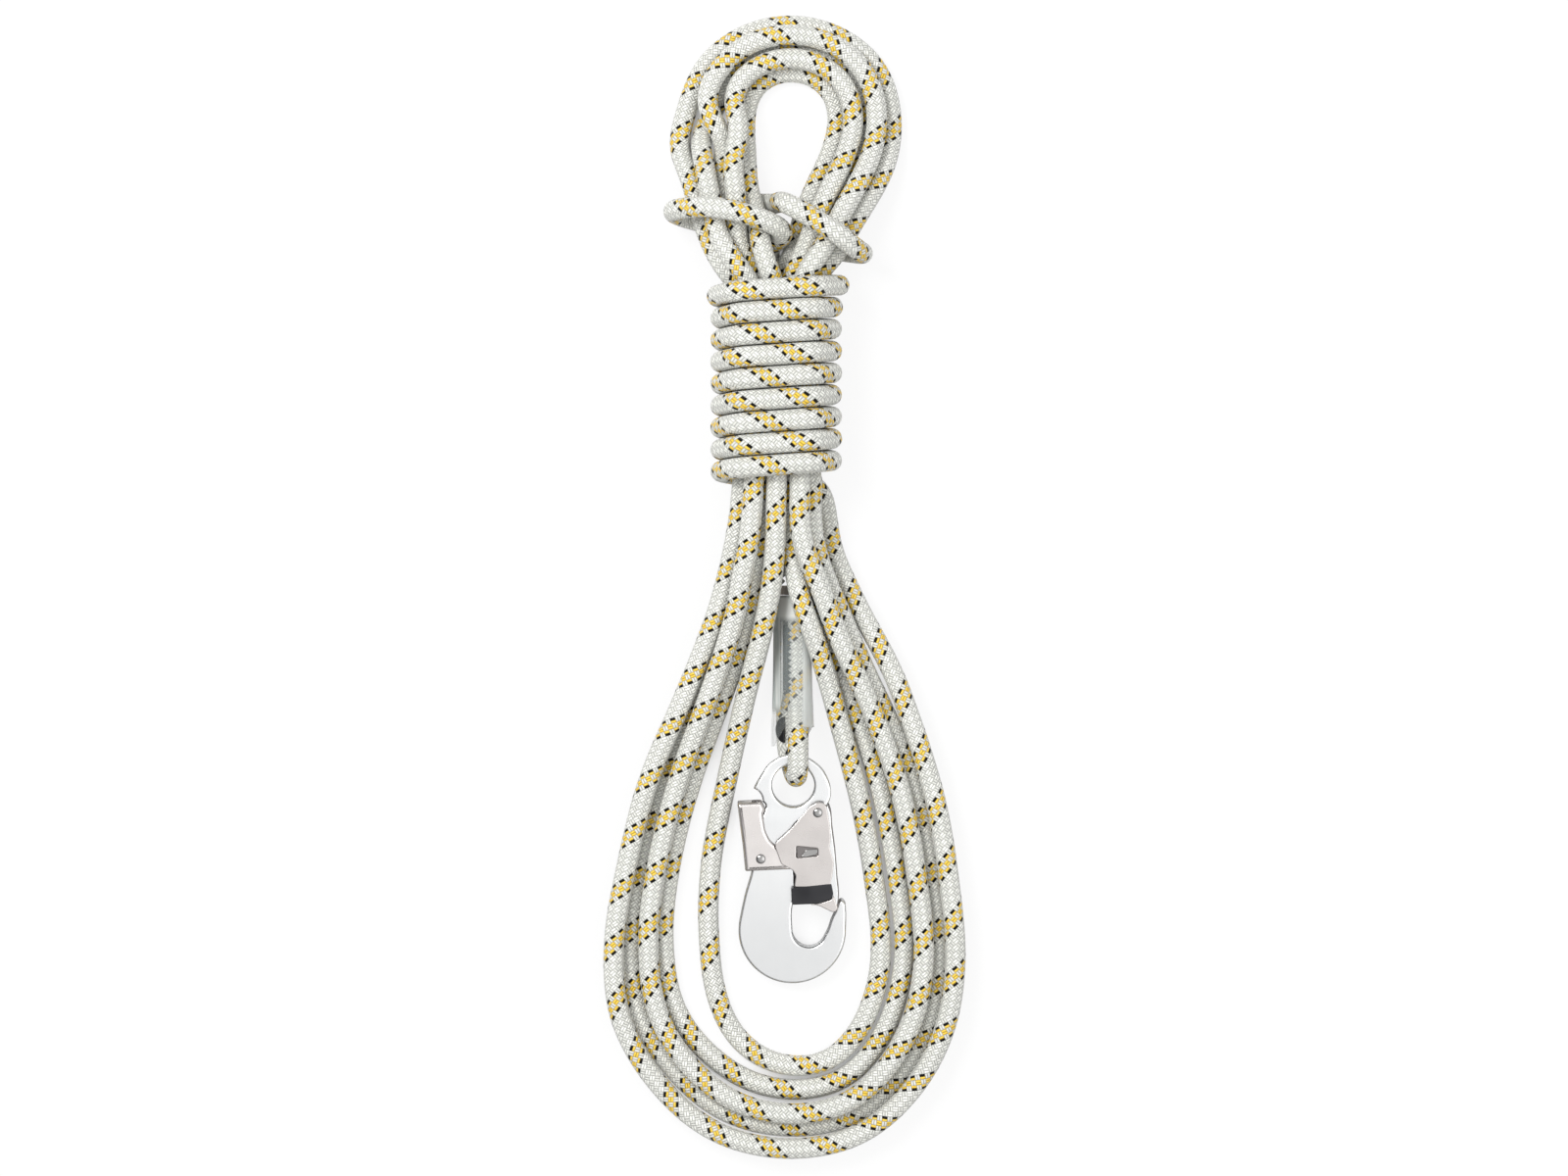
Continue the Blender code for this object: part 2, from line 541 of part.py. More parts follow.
def chords(route):
    """The route's points for a tube: close where it bends, far apart where it runs straight."""
    t = along(route)
    before, after = np.diff(route, axis=0)[:-1], np.diff(route, axis=0)[1:]
    length = np.linalg.norm(before, axis=1) * np.linalg.norm(after, axis=1)
    turn = np.arccos(np.clip((before * after).sum(1) / length, -1, 1)) / np.diff(t)[:-1]
    turn = np.pad(turn, 2, mode="edge")
    turn = np.max([turn[:-2], turn[1:-1], turn[2:]], axis=0)
    chord = np.clip(np.sqrt(8 * CHORD_SAG / np.maximum(turn, LEAST_BEND)), LEAST_CHORD, LONGEST_CHORD)
    count = np.concatenate([[0.0], np.cumsum(np.diff(t) * 2 / (chord[1:] + chord[:-1]))])
    steps = int(math.ceil(count[-1]))
    s = np.interp(np.linspace(0, count[-1], steps + 1), count, t)
    s = np.concatenate([[0, END_STEP], s[1:-1], [t[-1] - END_STEP, t[-1]]])
    return np.stack([np.interp(s, t, route[:, k]) for k in range(3)], axis=1)


def stretch(route, start, end):
    """The part of a route between two distances along it."""
    t = along(route)
    s = np.concatenate([[start], t[(t > start) & (t < end)], [end]])
    return np.stack([np.interp(s, t, route[:, k]) for k in range(3)], axis=1)


def add_object(name, mesh, collection):
    """Put a mesh in the scene as a named object."""
    obj = bpy.data.objects.new(name, mesh)
    collection.objects.link(obj)
    return obj


def mesh_from_curve(name, data, collection):
    """Turn a curve into a welded mesh object."""
    holder = bpy.data.objects.new(name + "_curve", data)
    collection.objects.link(holder)
    graph = bpy.context.evaluated_depsgraph_get()
    mesh = bpy.data.meshes.new_from_object(holder.evaluated_get(graph))
    obj = add_object(name, mesh, collection)
    obj.matrix_world = holder.matrix_world
    bpy.data.objects.remove(holder)
    work = bmesh.new()
    work.from_mesh(mesh)
    bmesh.ops.remove_doubles(work, verts=work.verts, dist=WELD)
    bmesh.ops.recalc_face_normals(work, faces=work.faces)
    work.to_mesh(mesh)
    work.free()
    mesh.materials.clear()
    return obj


def tube(name, points, diameter, collection, resolution=TUBE_RESOLUTION):
    """A round tube with closed ends along a row of points."""
    data = bpy.data.curves.new(name, "CURVE")
    data.dimensions = "3D"
    data.bevel_depth = diameter / 2
    data.bevel_resolution = resolution
    data.use_fill_caps = True
    spline = data.splines.new("POLY")
    spline.points.add(len(points) - 1)
    for target, point in zip(spline.points, points):
        target.co = (*point, 1)
    return mesh_from_curve(name, data, collection)


def plate(name, outlines, half_thickness, edge, collection):
    """A flat plate from outlines, the later ones holes, with its edges eased."""
    data = bpy.data.curves.new(name, "CURVE")
    data.dimensions = "2D"
    data.fill_mode = "BOTH"
    data.extrude = half_thickness - edge
    data.bevel_depth = edge
    data.bevel_resolution = 0
    data.offset = -edge
    for outline in outlines:
        spline = data.splines.new("POLY")
        spline.points.add(len(outline) - 1)
        for target, point in zip(spline.points, outline):
            target.co = (point[0], point[1], 0, 1)
        spline.use_cyclic_u = True
    return mesh_from_curve(name, data, collection)


def shade(obj, name, look):
    """Give an object its material and smooth shading with crisp edges."""
    obj.data.materials.append(material(name, look))
    obj.data.shade_smooth()
    obj.data.set_sharp_from_angle(angle=math.radians(SHARP_DEG))
    return obj


def hide_cutter(obj):
    """Keep a cutter out of the render."""
    obj.hide_render = True
    obj.display_type = "WIRE"
    return obj


def boolean(obj, other, operation):
    """Cut or join with another object."""
    modifier = obj.modifiers.new(operation.title(), "BOOLEAN")
    modifier.operation = operation
    modifier.object = other
    return obj


def slab(name, low, high, cutters):
    """A box between two corners, used to cut."""
    size = Vector(high) - Vector(low)
    mesh = bpy.data.meshes.new(name)
    work = bmesh.new()
    bmesh.ops.create_cube(work, size=1)
    bmesh.ops.scale(work, vec=size, verts=work.verts)
    bmesh.ops.translate(work, vec=Vector(low) + size / 2, verts=work.verts)
    work.to_mesh(mesh)
    work.free()
    return hide_cutter(add_object(name, mesh, cutters))


def arc(centre_x, centre_y, radius, ends_deg, steps=ARC_STEPS):
    """Points on an arc, from one angle to another."""
    angles = np.radians(np.linspace(*ends_deg, steps + 1))
    return [(centre_x + radius * math.cos(a), centre_y + radius * math.sin(a)) for a in angles]


def of_hook(shares):
    """An outline from its shares of the hook's length."""
    return [(x * HOOK_LENGTH, y * HOOK_LENGTH) for x, y in shares]


def hook_arc(shares, ends_deg, steps=ARC_STEPS):
    """An arc whose middle and radius are shares of the hook's length."""
    return arc(*(share * HOOK_LENGTH for share in shares), ends_deg, steps)


def circle(x, y, radius):
    """A round outline about a point."""
    return arc(x, y, radius, (360, 0), HOLE_STEPS)[:-1]


def pin_hole(shares):
    """The hole that a pin turns in, or is pressed through."""
    return circle(*of_hook([shares])[0], PIN_R + PIN_CLEARANCE)


def swing_axis():
    """Where the hook turns in the eye: the middle of the ring's bar, as Y and Z."""
    bar = RING_HOLE_R + RING_BAR / 2
    return RING_Y + bar * math.cos(math.radians(HOOK_TILT_DEG)), BACK_LEG_Z + TURN_RADIUS_Z


def frames(parts):
    """Empties on the three joint axes, which carry the hook's pieces."""
    bar = RING_HOLE_R + RING_BAR / 2
    swing = add_object("hook_frame", None, parts)
    swing.location = (RING_X, *swing_axis())
    swing.rotation_euler = (math.radians(HOOK_TILT_DEG), 0, 0)
    made = {"hook": (swing, (0, -bar, 0))}
    for name, shares in (("gate", GATE_PIN_SHARES), ("lever", LEVER_PIN_SHARES)):
        x, y = of_hook([shares])[0]
        hinge = add_object(name + "_frame", None, parts)
        hinge.parent = swing
        hinge.location = (x, y - bar, 0)
        made[name] = (hinge, (-x, -y, 0))
    return made


def carry(obj, frame):
    """Hang a piece, drawn from the middle of the ring's hole, on its frame."""
    parent, offset = frame
    obj.parent = parent
    obj.location = offset
    return obj


def rope_pieces(parts, floor):
    """The hank in three unbroken stretches, cut flat where they lie on the floor."""
    route, first, last = rope_route()
    t = along(route)
    hank_start = t[np.argmax(route[:, 1] > SLEEVE_TOP_Y)] + JOINT_GAP
    cuts = [
        ("rope_loops", hank_start, t[first] - JOINT_GAP / 2),
        ("neck_wraps", t[first] + JOINT_GAP / 2, t[last] - JOINT_GAP / 2),
        ("lock_hitch", t[last] + JOINT_GAP / 2, t[-1]),
    ]
    lines = []
    for name, start, end in cuts:
        wound = name == "neck_wraps"
        lines.append(wraps_line() if wound else chords(stretch(route, start, end)))
        obj = tube(name, lines[-1], ROPE_D, parts)
        shade(boolean(obj, floor, "DIFFERENCE"), name, ROPE_LOOK)
    report_gap("hank", *lines)
    end, before = route[-1], route[-2]
    onward = (end - before) / np.linalg.norm(end - before)
    seal = [end + onward * JOINT_GAP, end + onward * (JOINT_GAP + SEALED_END_LENGTH)]
    shade(tube("tail_sealed_end", seal, SEALED_END_D, parts, SEAL_RESOLUTION), "tail_sealed_end", SEAL_LOOK)


def report_gap(name, *lines):
    """Print the least air between strands, the rope's length and the count of its points."""
    gap, place = least_gap(*lines)
    length = sum(along(line)[-1] for line in lines)
    print(f"{name}: least gap {gap / MM:.2f} mm at {np.round(place / MM)}, rope {length:.2f} m")
    print(f"{name}: {sum(len(line) for line in lines)} points")


def eye_pieces(parts, floor):
    """The sewn eye and the sealed end of its short leg."""
    line = chords(eye_route())
    obj = tube("rope_eye", line, ROPE_D, parts)
    shade(boolean(obj, floor, "DIFFERENCE"), "rope_eye", ROPE_LOOK)
    report_gap("eye", line)
    seal = [(BACK_LEG_X, SLEEVE_TOP_Y + JOINT_GAP, BACK_LEG_Z),
            (BACK_LEG_X, SLEEVE_TOP_Y + JOINT_GAP + SEALED_END_LENGTH, BACK_LEG_Z)]
    shade(tube("eye_sealed_end", seal, SEALED_END_D, parts, SEAL_RESOLUTION), "eye_sealed_end", EYE_SEAL_LOOK)


def leg_centres(y):
    """Middle of the front and back legs of the eye at a distance down the sleeve, as X and Z."""
    route = eye_route()
    half = int(np.argmin(route[:, 1]))
    centres = []
    for leg in (route[: half + 1], route[half:]):
        down = leg[np.argsort(-leg[:, 1])]
        centres.append(np.array([np.interp(-y, -down[:, 1], down[:, k]) for k in (0, 2)]))
    return centres


def belt(front, back, radius):
    """A belt round two circles: its points start beside the front one and go round."""
    lean = math.atan2(*(front - back)[::-1])
    points = []
    for centre, start in ((front, lean - math.pi / 2), (back, lean + math.pi / 2)):
        angles = start + np.linspace(0, math.pi, SLEEVE_ARC_STEPS + 1)
        points += [centre + radius * np.array([math.cos(a), math.sin(a)]) for a in angles]
    return points


def sleeve_ring(share, wall):
    """One ring of the sleeve, lower on its back leg than on its front one, and wider near the end."""
    radius = ROPE_D / 2 + SLEEVE_CLEARANCE + SLEEVE_BULGE * share**3 + wall
    front_y = SLEEVE_TOP_Y + share * (SLEEVE_FRONT_END_Y - SLEEVE_TOP_Y)
    back_y = SLEEVE_TOP_Y + share * (SLEEVE_BACK_END_Y - SLEEVE_TOP_Y)
    front, _ = leg_centres(front_y)
    _, back = leg_centres(back_y)
    back[1] = max(back[1], radius - wall + SLEEVE_WALL)
    ys = [front_y] * (SLEEVE_ARC_STEPS + 1) + [back_y] * (SLEEVE_ARC_STEPS + 1)
    return [(p[0], y, p[1]) for p, y in zip(belt(front, back, radius), ys)]


def clear_sleeve(parts):
    """The clear tube over both legs, lofted as a closed wall through its rings."""
    shares = np.linspace(0, 1, SLEEVE_STATIONS)
    rings = [sleeve_ring(s, SLEEVE_WALL) for s in shares]
    rings += [sleeve_ring(s, 0) for s in shares[::-1]]
    mesh = bpy.data.meshes.new("clear_sleeve")
    work = bmesh.new()
    rows = [[work.verts.new(p) for p in ring] for ring in rings]
    for low, high in zip(rows, rows[1:] + rows[:1]):
        for k in range(len(low)):
            n = (k + 1) % len(low)
            work.faces.new((low[k], low[n], high[n], high[k]))
    bmesh.ops.recalc_face_normals(work, faces=work.faces)
    work.to_mesh(mesh)
    work.free()
    return shade(add_object("clear_sleeve", mesh, parts), "clear_sleeve", SLEEVE_LOOK)


def seam(y, across, lift):
    """A point lifted off the legs: across the flat from one to the other, then round the front one."""
    front, back = leg_centres(y)
    half = np.linalg.norm(front - back) / 2
    toward = (front - back) / (2 * half)
    outward = np.array([-toward[1], toward[0]])
    radius = ROPE_D / 2 + lift
    turn = max(across - half, 0) / radius
    flat = (front + back) / 2 + toward * min(across, half)
    x, z = flat + radius * (outward * math.cos(turn) + toward * math.sin(turn))
    return (x, y, z)


def stitching(parts):
    """The zigzag of thread that sews the two legs together."""
    count = int((THREAD_TOP_Y - THREAD_BOTTOM_Y) / THREAD_STEP)
    lift = THREAD_D / 2 + THREAD_LIFT
    points = [
        seam(THREAD_TOP_Y - k * THREAD_STEP, THREAD_ACROSS + THREAD_WIDTH / 2 * (-1) ** k, lift)
        for k in range(count + 1)
    ]
    return shade(tube("eye_stitching", points, THREAD_D, parts, 0), "eye_stitching", THREAD_LOOK)


def label_strip(parts):
    """The blank strip beside the stitches, lofted down the flat between the legs."""
    low, high = THREAD_LIFT, THREAD_LIFT + LABEL_THICKNESS
    left, right = LABEL_ACROSS, LABEL_ACROSS + LABEL_WIDTH
    mesh = bpy.data.meshes.new("eye_label")
    work = bmesh.new()
    rows = []
    for y in np.linspace(LABEL_TOP_Y, LABEL_TOP_Y - LABEL_LENGTH, LABEL_STATIONS):
        corners = [seam(y, *corner) for corner in ((left, low), (right, low), (right, high), (left, high))]
        rows.append([work.verts.new(corner) for corner in corners])
    for upper, lower in zip(rows, rows[1:]):
        for k in range(len(upper)):
            n = (k + 1) % len(upper)
            work.faces.new((upper[k], upper[n], lower[n], lower[k]))
    work.faces.new(rows[0])
    work.faces.new(rows[-1][::-1])
    bmesh.ops.recalc_face_normals(work, faces=work.faces)
    work.to_mesh(mesh)
    work.free()
    return shade(add_object("eye_label", mesh, parts), "eye_label", LABEL_LOOK)


def eye_wedge(parts):
    """The black keeper over the fork of the eye: a D with its round side to the left."""
    angles = np.linspace(math.pi / 2, 3 * math.pi / 2, WEDGE_STEPS + 1)
    outline = [(WEDGE_WIDTH * math.cos(a), WEDGE_LENGTH / 2 * math.sin(a)) for a in angles]
    obj = plate("eye_wedge", [outline], WEDGE_DEPTH / 2, WEDGE_EDGE, parts)
    y = WEDGE_TOP_Y - WEDGE_LENGTH / 2
    lean = math.radians(WEDGE_LEAN_DEG)
    flat, outward = np.array([math.cos(lean), math.sin(lean)]), np.array([-math.sin(lean), math.cos(lean)])
    _, back = leg_centres(y)
    x, z = back + flat * WEDGE_WIDTH / 2 + outward * (ROPE_D / 2 + WEDGE_LIFT + WEDGE_DEPTH / 2)
    obj.location = (x, y, z)
    obj.rotation_euler = (0, -lean, 0)
    return shade(obj, "eye_wedge", WEDGE_LOOK)


def hook_body(parts, cutters, frame):
    """The forged body: a thinner round ring at the top of spine, belly, throat and nose."""
    outline = (
        arc(0, 0, RING_STEP_R, RING_ARC_DEG, 2 * ARC_STEPS)
        + of_hook(RING_SHOULDER_SHARES)
        + hook_arc(BOSS_SHARES, BOSS_ARC_DEG, ARC_STEPS // 2)
        + of_hook(UPPER_THROAT_SHARES)
        + hook_arc(THROAT_SHARES, THROAT_ARC_DEG)
        + of_hook(NOSE_SHARES)
        + hook_arc(BELLY_SHARES, BELLY_ARC_DEG, 2 * ARC_STEPS)
        + of_hook(SPINE_SHARES)
    )
    pins = [pin_hole(GATE_PIN_SHARES), pin_hole(LEVER_PIN_SHARES)]
    obj = plate("hook_body", [outline] + pins, BODY_THICKNESS / 2, BODY_EDGE, parts)
    circles = [circle(0, 0, RING_OUTER_R), circle(0, 0, RING_HOLE_R)]
    ring = plate("hook_ring", circles, RING_THICKNESS / 2, RING_EDGE, cutters)
    carry(hide_cutter(ring), frame)
    return shade(carry(boolean(obj, ring, "UNION"), frame), "hook_body", BODY_LOOK)


def channel(name, outline, hollow, inner, outer, holes, parts, cutters, frame):
    """A pressed channel: its outline at full thickness, hollowed between the two side plates."""
    obj = plate(name, [outline] + holes, outer, SHEET_EDGE, parts)
    hollowed = plate(name + "_hollow", [hollow], inner, 0, cutters)
    carry(hide_cutter(hollowed), frame)
    boolean(obj, hollowed, "DIFFERENCE")
    return carry(obj, frame)


def lock_lever(parts, cutters, frame):
    """The lever that the palm presses before the gate can open."""
    obj = channel("lock_lever", of_hook(LEVER_SHARES), of_hook(LEVER_CHANNEL_SHARES), LEVER_INNER,
                  LEVER_OUTER, [pin_hole(LEVER_PIN_SHARES)], parts, cutters, frame)
    return shade(obj, "lock_lever", LEVER_LOOK)


def gate_window():
    """The lanced slot in the gate's side plates."""
    tall, low = WINDOW_TALL_END / 2, WINDOW_LOW_END / 2
    left, middle = of_hook([WINDOW_SHARES])[0]
    right = left + WINDOW_LENGTH
    return [(left, middle + tall), (right, middle + low), (right, middle - low), (left, middle - tall)]


def gate_shell(parts, cutters, frame):
    """The gate: a channel that closes over the lever, hinged on its own pin."""
    holes = [pin_hole(GATE_PIN_SHARES), gate_window()]
    obj = channel("gate_shell", of_hook(GATE_SHARES), of_hook(GATE_CHANNEL_SHARES), GATE_INNER,
                  GATE_OUTER, holes, parts, cutters, frame)
    return shade(obj, "gate_shell", GATE_LOOK)


def gate_tip(parts, cutters, frame):
    """The dark shoe at the gate's end, which closes on the nose."""
    obj = channel("gate_tip", of_hook(TIP_SHARES), of_hook(TIP_CHANNEL_SHARES), GATE_INNER,
                  GATE_OUTER, [], parts, cutters, frame)
    return shade(obj, "gate_tip", TIP_LOOK)


def turned(name, profile, look, parts):
    """A turned piece about Z from a profile of radius and height."""
    mesh = bpy.data.meshes.new(name)
    work = bmesh.new()
    points = [work.verts.new((r, 0, z)) for r, z in profile]
    for a, b in zip(points, points[1:]):
        work.edges.new((a, b))
    work.to_mesh(mesh)
    work.free()
    obj = add_object(name, mesh, parts)
    screw = obj.modifiers.new("Turn", "SCREW")
    screw.steps = screw.render_steps = HOLE_STEPS
    screw.use_merge_vertices = True
    screw.merge_threshold = WELD
    return shade(obj, name, look)


def pin(name, outer, shares, parts, frame):
    """A rivet with a domed head on each side of the outer plates."""
    seat = outer + PLATE_GAP / 2
    angles = np.linspace(math.pi / 2, 0, DOME_STEPS + 1)[1:]
    half = [(0.0, seat + PIN_HEAD_H)]
    half += [(PIN_HEAD_R * math.cos(a), seat + PIN_HEAD_H * math.sin(a)) for a in angles]
    half += [(PIN_R, seat)]
    profile = half + [(r, -z) for r, z in half[::-1]]
    obj = carry(turned(name, profile, PIN_LOOK, parts), frame)
    obj.location = Vector(obj.location) + Vector((*of_hook([shares])[0], 0))
    return obj


def spacer(name, side, parts, frame):
    """A ring on the gate's pin that fills the space between body and gate."""
    bore = PIN_R + PIN_CLEARANCE
    low, high = BODY_THICKNESS / 2 + PLATE_GAP, GATE_INNER - PLATE_GAP
    profile = [(bore, high), (SPACER_R, high), (SPACER_R, low), (bore, low), (bore, high)]
    obj = carry(turned(name, profile, PIN_LOOK, parts), frame)
    down = 0 if side > 0 else -low - high
    obj.location = Vector(obj.location) + Vector((*of_hook([GATE_PIN_SHARES])[0], down))
    return obj


def build():
    """Model the whole lanyard."""
    clear_scene()
    parts = new_collection("climbing_lanyard")
    cutters = new_collection("cutters")
    reach = FLOOR_CUTTER_SIZE
    floor = slab("floor_cutter", (-reach, -reach, -reach), (reach, reach, 0), cutters)
    rope_pieces(parts, floor)
    eye_pieces(parts, floor)
    clear_sleeve(parts)
    stitching(parts)
    label_strip(parts)
    eye_wedge(parts)
    frame = frames(parts)
    hook_body(parts, cutters, frame["hook"])
    lock_lever(parts, cutters, frame["lever"])
    gate_shell(parts, cutters, frame["gate"])
    gate_tip(parts, cutters, frame["gate"])
    pin("gate_pin", GATE_OUTER, GATE_PIN_SHARES, parts, frame["hook"])
    pin("lever_pin", LEVER_OUTER, LEVER_PIN_SHARES, parts, frame["hook"])
    spacer("gate_spacer_front", 1, parts, frame["hook"])
    spacer("gate_spacer_back", -1, parts, frame["hook"])


build()
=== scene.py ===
"""Climbing lanyard, dressed for its picture: a hank of braided rope with a sewn eye and a snap hook.

Lengths are in metres, +Z up. The rope's route, the sleeve and the hook's outlines are worked out
from the same sizes as the lanyard's solid model.
"""

import math

import bmesh
import bpy
import numpy as np
from mathutils import Matrix, Vector

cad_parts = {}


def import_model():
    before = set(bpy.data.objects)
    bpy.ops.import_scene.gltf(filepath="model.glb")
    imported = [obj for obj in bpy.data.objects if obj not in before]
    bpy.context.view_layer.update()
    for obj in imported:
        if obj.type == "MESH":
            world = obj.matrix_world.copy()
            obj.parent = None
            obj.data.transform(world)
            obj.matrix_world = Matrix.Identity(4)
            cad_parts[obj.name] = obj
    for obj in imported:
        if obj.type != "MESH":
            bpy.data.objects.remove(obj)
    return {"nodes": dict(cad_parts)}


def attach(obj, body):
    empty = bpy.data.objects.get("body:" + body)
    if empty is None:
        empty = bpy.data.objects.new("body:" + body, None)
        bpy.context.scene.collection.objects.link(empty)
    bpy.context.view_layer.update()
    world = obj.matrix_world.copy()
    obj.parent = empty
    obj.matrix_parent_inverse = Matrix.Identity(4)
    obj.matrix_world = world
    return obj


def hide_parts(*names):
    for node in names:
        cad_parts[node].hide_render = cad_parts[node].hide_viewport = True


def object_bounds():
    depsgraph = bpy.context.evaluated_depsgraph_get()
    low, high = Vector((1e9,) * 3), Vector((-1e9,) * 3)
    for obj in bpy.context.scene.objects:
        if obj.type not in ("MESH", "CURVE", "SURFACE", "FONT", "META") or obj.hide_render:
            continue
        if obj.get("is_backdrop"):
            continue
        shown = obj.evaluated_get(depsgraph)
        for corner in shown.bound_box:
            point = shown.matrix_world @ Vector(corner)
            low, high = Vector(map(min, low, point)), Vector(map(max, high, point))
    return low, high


MM = 0.001

# Rope: its diameter, the air left between two strands, and the flat where it lies
ROPE_D = 11.0 * MM
STRAND_GAP = 0.62 * MM
PITCH = ROPE_D + STRAND_GAP
ROW = PITCH * math.sin(math.radians(60))
FLAT_DEPTH = ROPE_D / 10
FLOOR_Z = ROPE_D / 2 - FLAT_DEPTH
ROUTE_STEP = 4.0 * MM
LEAST_GAP = 0.4 * MM

# Hank: loops below the neck, passes round the head above it, turns round the neck
LOOPS = 5
WRAPS = 9
NECK_X = -4.4 * MM
NECK_BOTTOM_Y = 51.0 * MM
NECK_TOP_Y = 152.0 * MM
NECK_STATIONS = 5
FIRST_WRAP_Y = 64.1 * MM
WRAP_PITCH = 11.62 * MM
WRAP_SLACK = 0.55 * MM
NECK_Z = FLOOR_Z + PITCH + WRAP_SLACK + ROW
WRAP_CORNER_STEPS = 3
WRAP_START = 0.18
WRAP_PHASE = 0.75
WRAP_RUN_ON = 0.16
RUN_IN_STEPS = 2
TOP_FLARE_SHARE = 0.14
TOP_FLARE_TURNS = 1.6
BUNDLE_FLARE_SHARE = 0.08
WRAP_LEAD_IN = [(22.6, 41, 5.4), (20, 50.5, 4.6)]

# Levels in a pile of strands, counted in rows above the floor
BOTTOM = (PITCH + WRAP_SLACK) / ROW
MIDDLE = BOTTOM + 1
TOP = BOTTOM + 2

# Middle line of the inmost and outmost strand along a loop, from left of the neck to right of it
LOOP_INNER = [
    (-4, 30), (-9, -11.5), (-20.5, -58), (-31, -105), (-39.5, -149), (-40.5, -188), (-34, -227),
    (-23.5, -244.5), (-9, -254), (6.5, -257.5), (27.5, -252.5), (41.5, -236), (49.5, -215.5),
    (52.5, -196), (49, -159.5), (40, -110), (25.5, -58), (11.5, -11.5), (3.5, 27.5),
]
LOOP_OUTER = [
    (-25, 30), (-35, -11.5), (-53, -58), (-73, -105), (-84, -149), (-91, -191), (-87.5, -231),
    (-70.5, -261.5), (-38, -290.5), (7.5, -300), (41, -292), (66.5, -270.5), (86, -235),
    (91.2, -201), (88, -159.5), (79.5, -110), (61, -58), (39.5, -11.5), (23.5, 27.5),
]

# Where each of the five ranks lies between those lines, and its level, station by station
LOOP_ACROSS_SHARES = [
    (0, 0.33, 0.66, 0.66, 1), (0, 0.33, 0.62, 0.72, 1), (0, 0.38, 0.60, 0.76, 1),
    (0, 0.45, 0.62, 0.80, 1), (0, 0.484, 0.639, 0.831, 1), (0, 0.484, 0.639, 0.831, 1),
    (0, 0.44, 0.62, 0.81, 1), (0, 0.36, 0.60, 0.78, 1), (0, 0.31, 0.58, 0.76, 1),
    (0, 0.29, 0.565, 0.75, 1), (0, 0.29, 0.565, 0.77, 1), (0, 0.29, 0.565, 0.78, 1),
    (0, 0.29, 0.568, 0.788, 1), (0, 0.29, 0.568, 0.788, 1), (0, 0.29, 0.568, 0.788, 1),
    (0, 0.28, 0.56, 0.77, 1), (0, 0.24, 0.50, 0.72, 1), (0, 0.2, 0.35, 0.6, 1),
    (0, 0.2, 0.22, 0.5, 1),
]
LOOP_LEVEL_SHARES = (
    [(TOP, MIDDLE, TOP, BOTTOM, MIDDLE), (2.4, 1.5, 2.6, 0.7, 1.8), (1.2, 0.5, 1.7, 0.2, 1.3),
     (0.3, 0.1, 1.15, 0, 1.05)]
    + [(0, 0, 1, 0, 1)] * 11
    + [(0.3, 0.05, 1.15, 0.1, 1), (1.2, 0.3, 1.7, 0.6, 0.9), (2.5, 0.8, 2.6, 1.5, 0.6),
       (2.1, BOTTOM, TOP, MIDDLE, 0.2)]
)
LOOP = (LOOP_INNER, LOOP_OUTER, LOOP_ACROSS_SHARES, LOOP_LEVEL_SHARES)

# The same for the head, from right of the neck round to left of it
HEAD_INNER = [
    (-1, 163), (6, 181), (10.5, 199), (18.5, 217.5), (26.5, 235), (29.5, 252.5), (26, 265),
    (16.5, 273.5), (3.5, 277), (-9.5, 273.5), (-18.5, 265), (-21.5, 252.5), (-21.5, 235),
    (-20.5, 217.5), (-17, 199), (-14, 181), (-9.5, 163),
]
HEAD_OUTER = [
    (22, 163), (29, 181), (39.5, 199), (51, 217.5), (57, 235), (57.5, 252.5), (50.5, 276),
    (30.5, 293.5), (3, 299.5), (-24.5, 293.5), (-44.5, 276), (-52, 252.5), (-51.5, 235),
    (-49, 217.5), (-44.5, 199), (-38, 181), (-30.5, 163),
]
HEAD_ACROSS_SHARES = (
    [(0, 0.33, 0.66, 0.66, 1), (0, 0.32, 0.6, 0.68, 1)]
    + [(0, 0.295, 0.5, 0.705, 1)] * 9
    + [(0, 0.26, 0.54, 0.66, 1), (0, 0.22, 0.7, 0.4, 1), (0, 0.28, 0.7, 0.5, 1),
       (0, 0.3, 0.7, 0.5, 1), (0, 0.32, 0.68, 0.6, 1), (0, 0.33, 0.66, 0.66, 1)]
)
HEAD_LEVEL_SHARES = (
    [(BOTTOM, MIDDLE, BOTTOM, TOP, MIDDLE), (BOTTOM + 0.1, MIDDLE, BOTTOM, TOP - 0.2, MIDDLE - 0.2),
     (BOTTOM, MIDDLE, BOTTOM, MIDDLE + 0.3, BOTTOM + 0.3), (0.75, 1.75, 0.75, 1.75, 0.75),
     (0.1, 1.1, 0.1, 1.1, 0.1)]
    + [(0, 1, 0, 1, 0)] * 6
    + [(0, 1.1, 0.25, 0.75, 0), (0.05, 1.35, 0.6, 0.5, 0.1), (0.8, 1.9, 1.7, 0.8, 0.75),
       (BOTTOM + 0.3, MIDDLE, MIDDLE + 0.2, BOTTOM, BOTTOM),
       (TOP - 0.6, MIDDLE, TOP - 0.3, BOTTOM, MIDDLE - 0.3), (TOP, MIDDLE, TOP, BOTTOM, MIDDLE)]
)
HEAD = (HEAD_INNER, HEAD_OUTER, HEAD_ACROSS_SHARES, HEAD_LEVEL_SHARES)

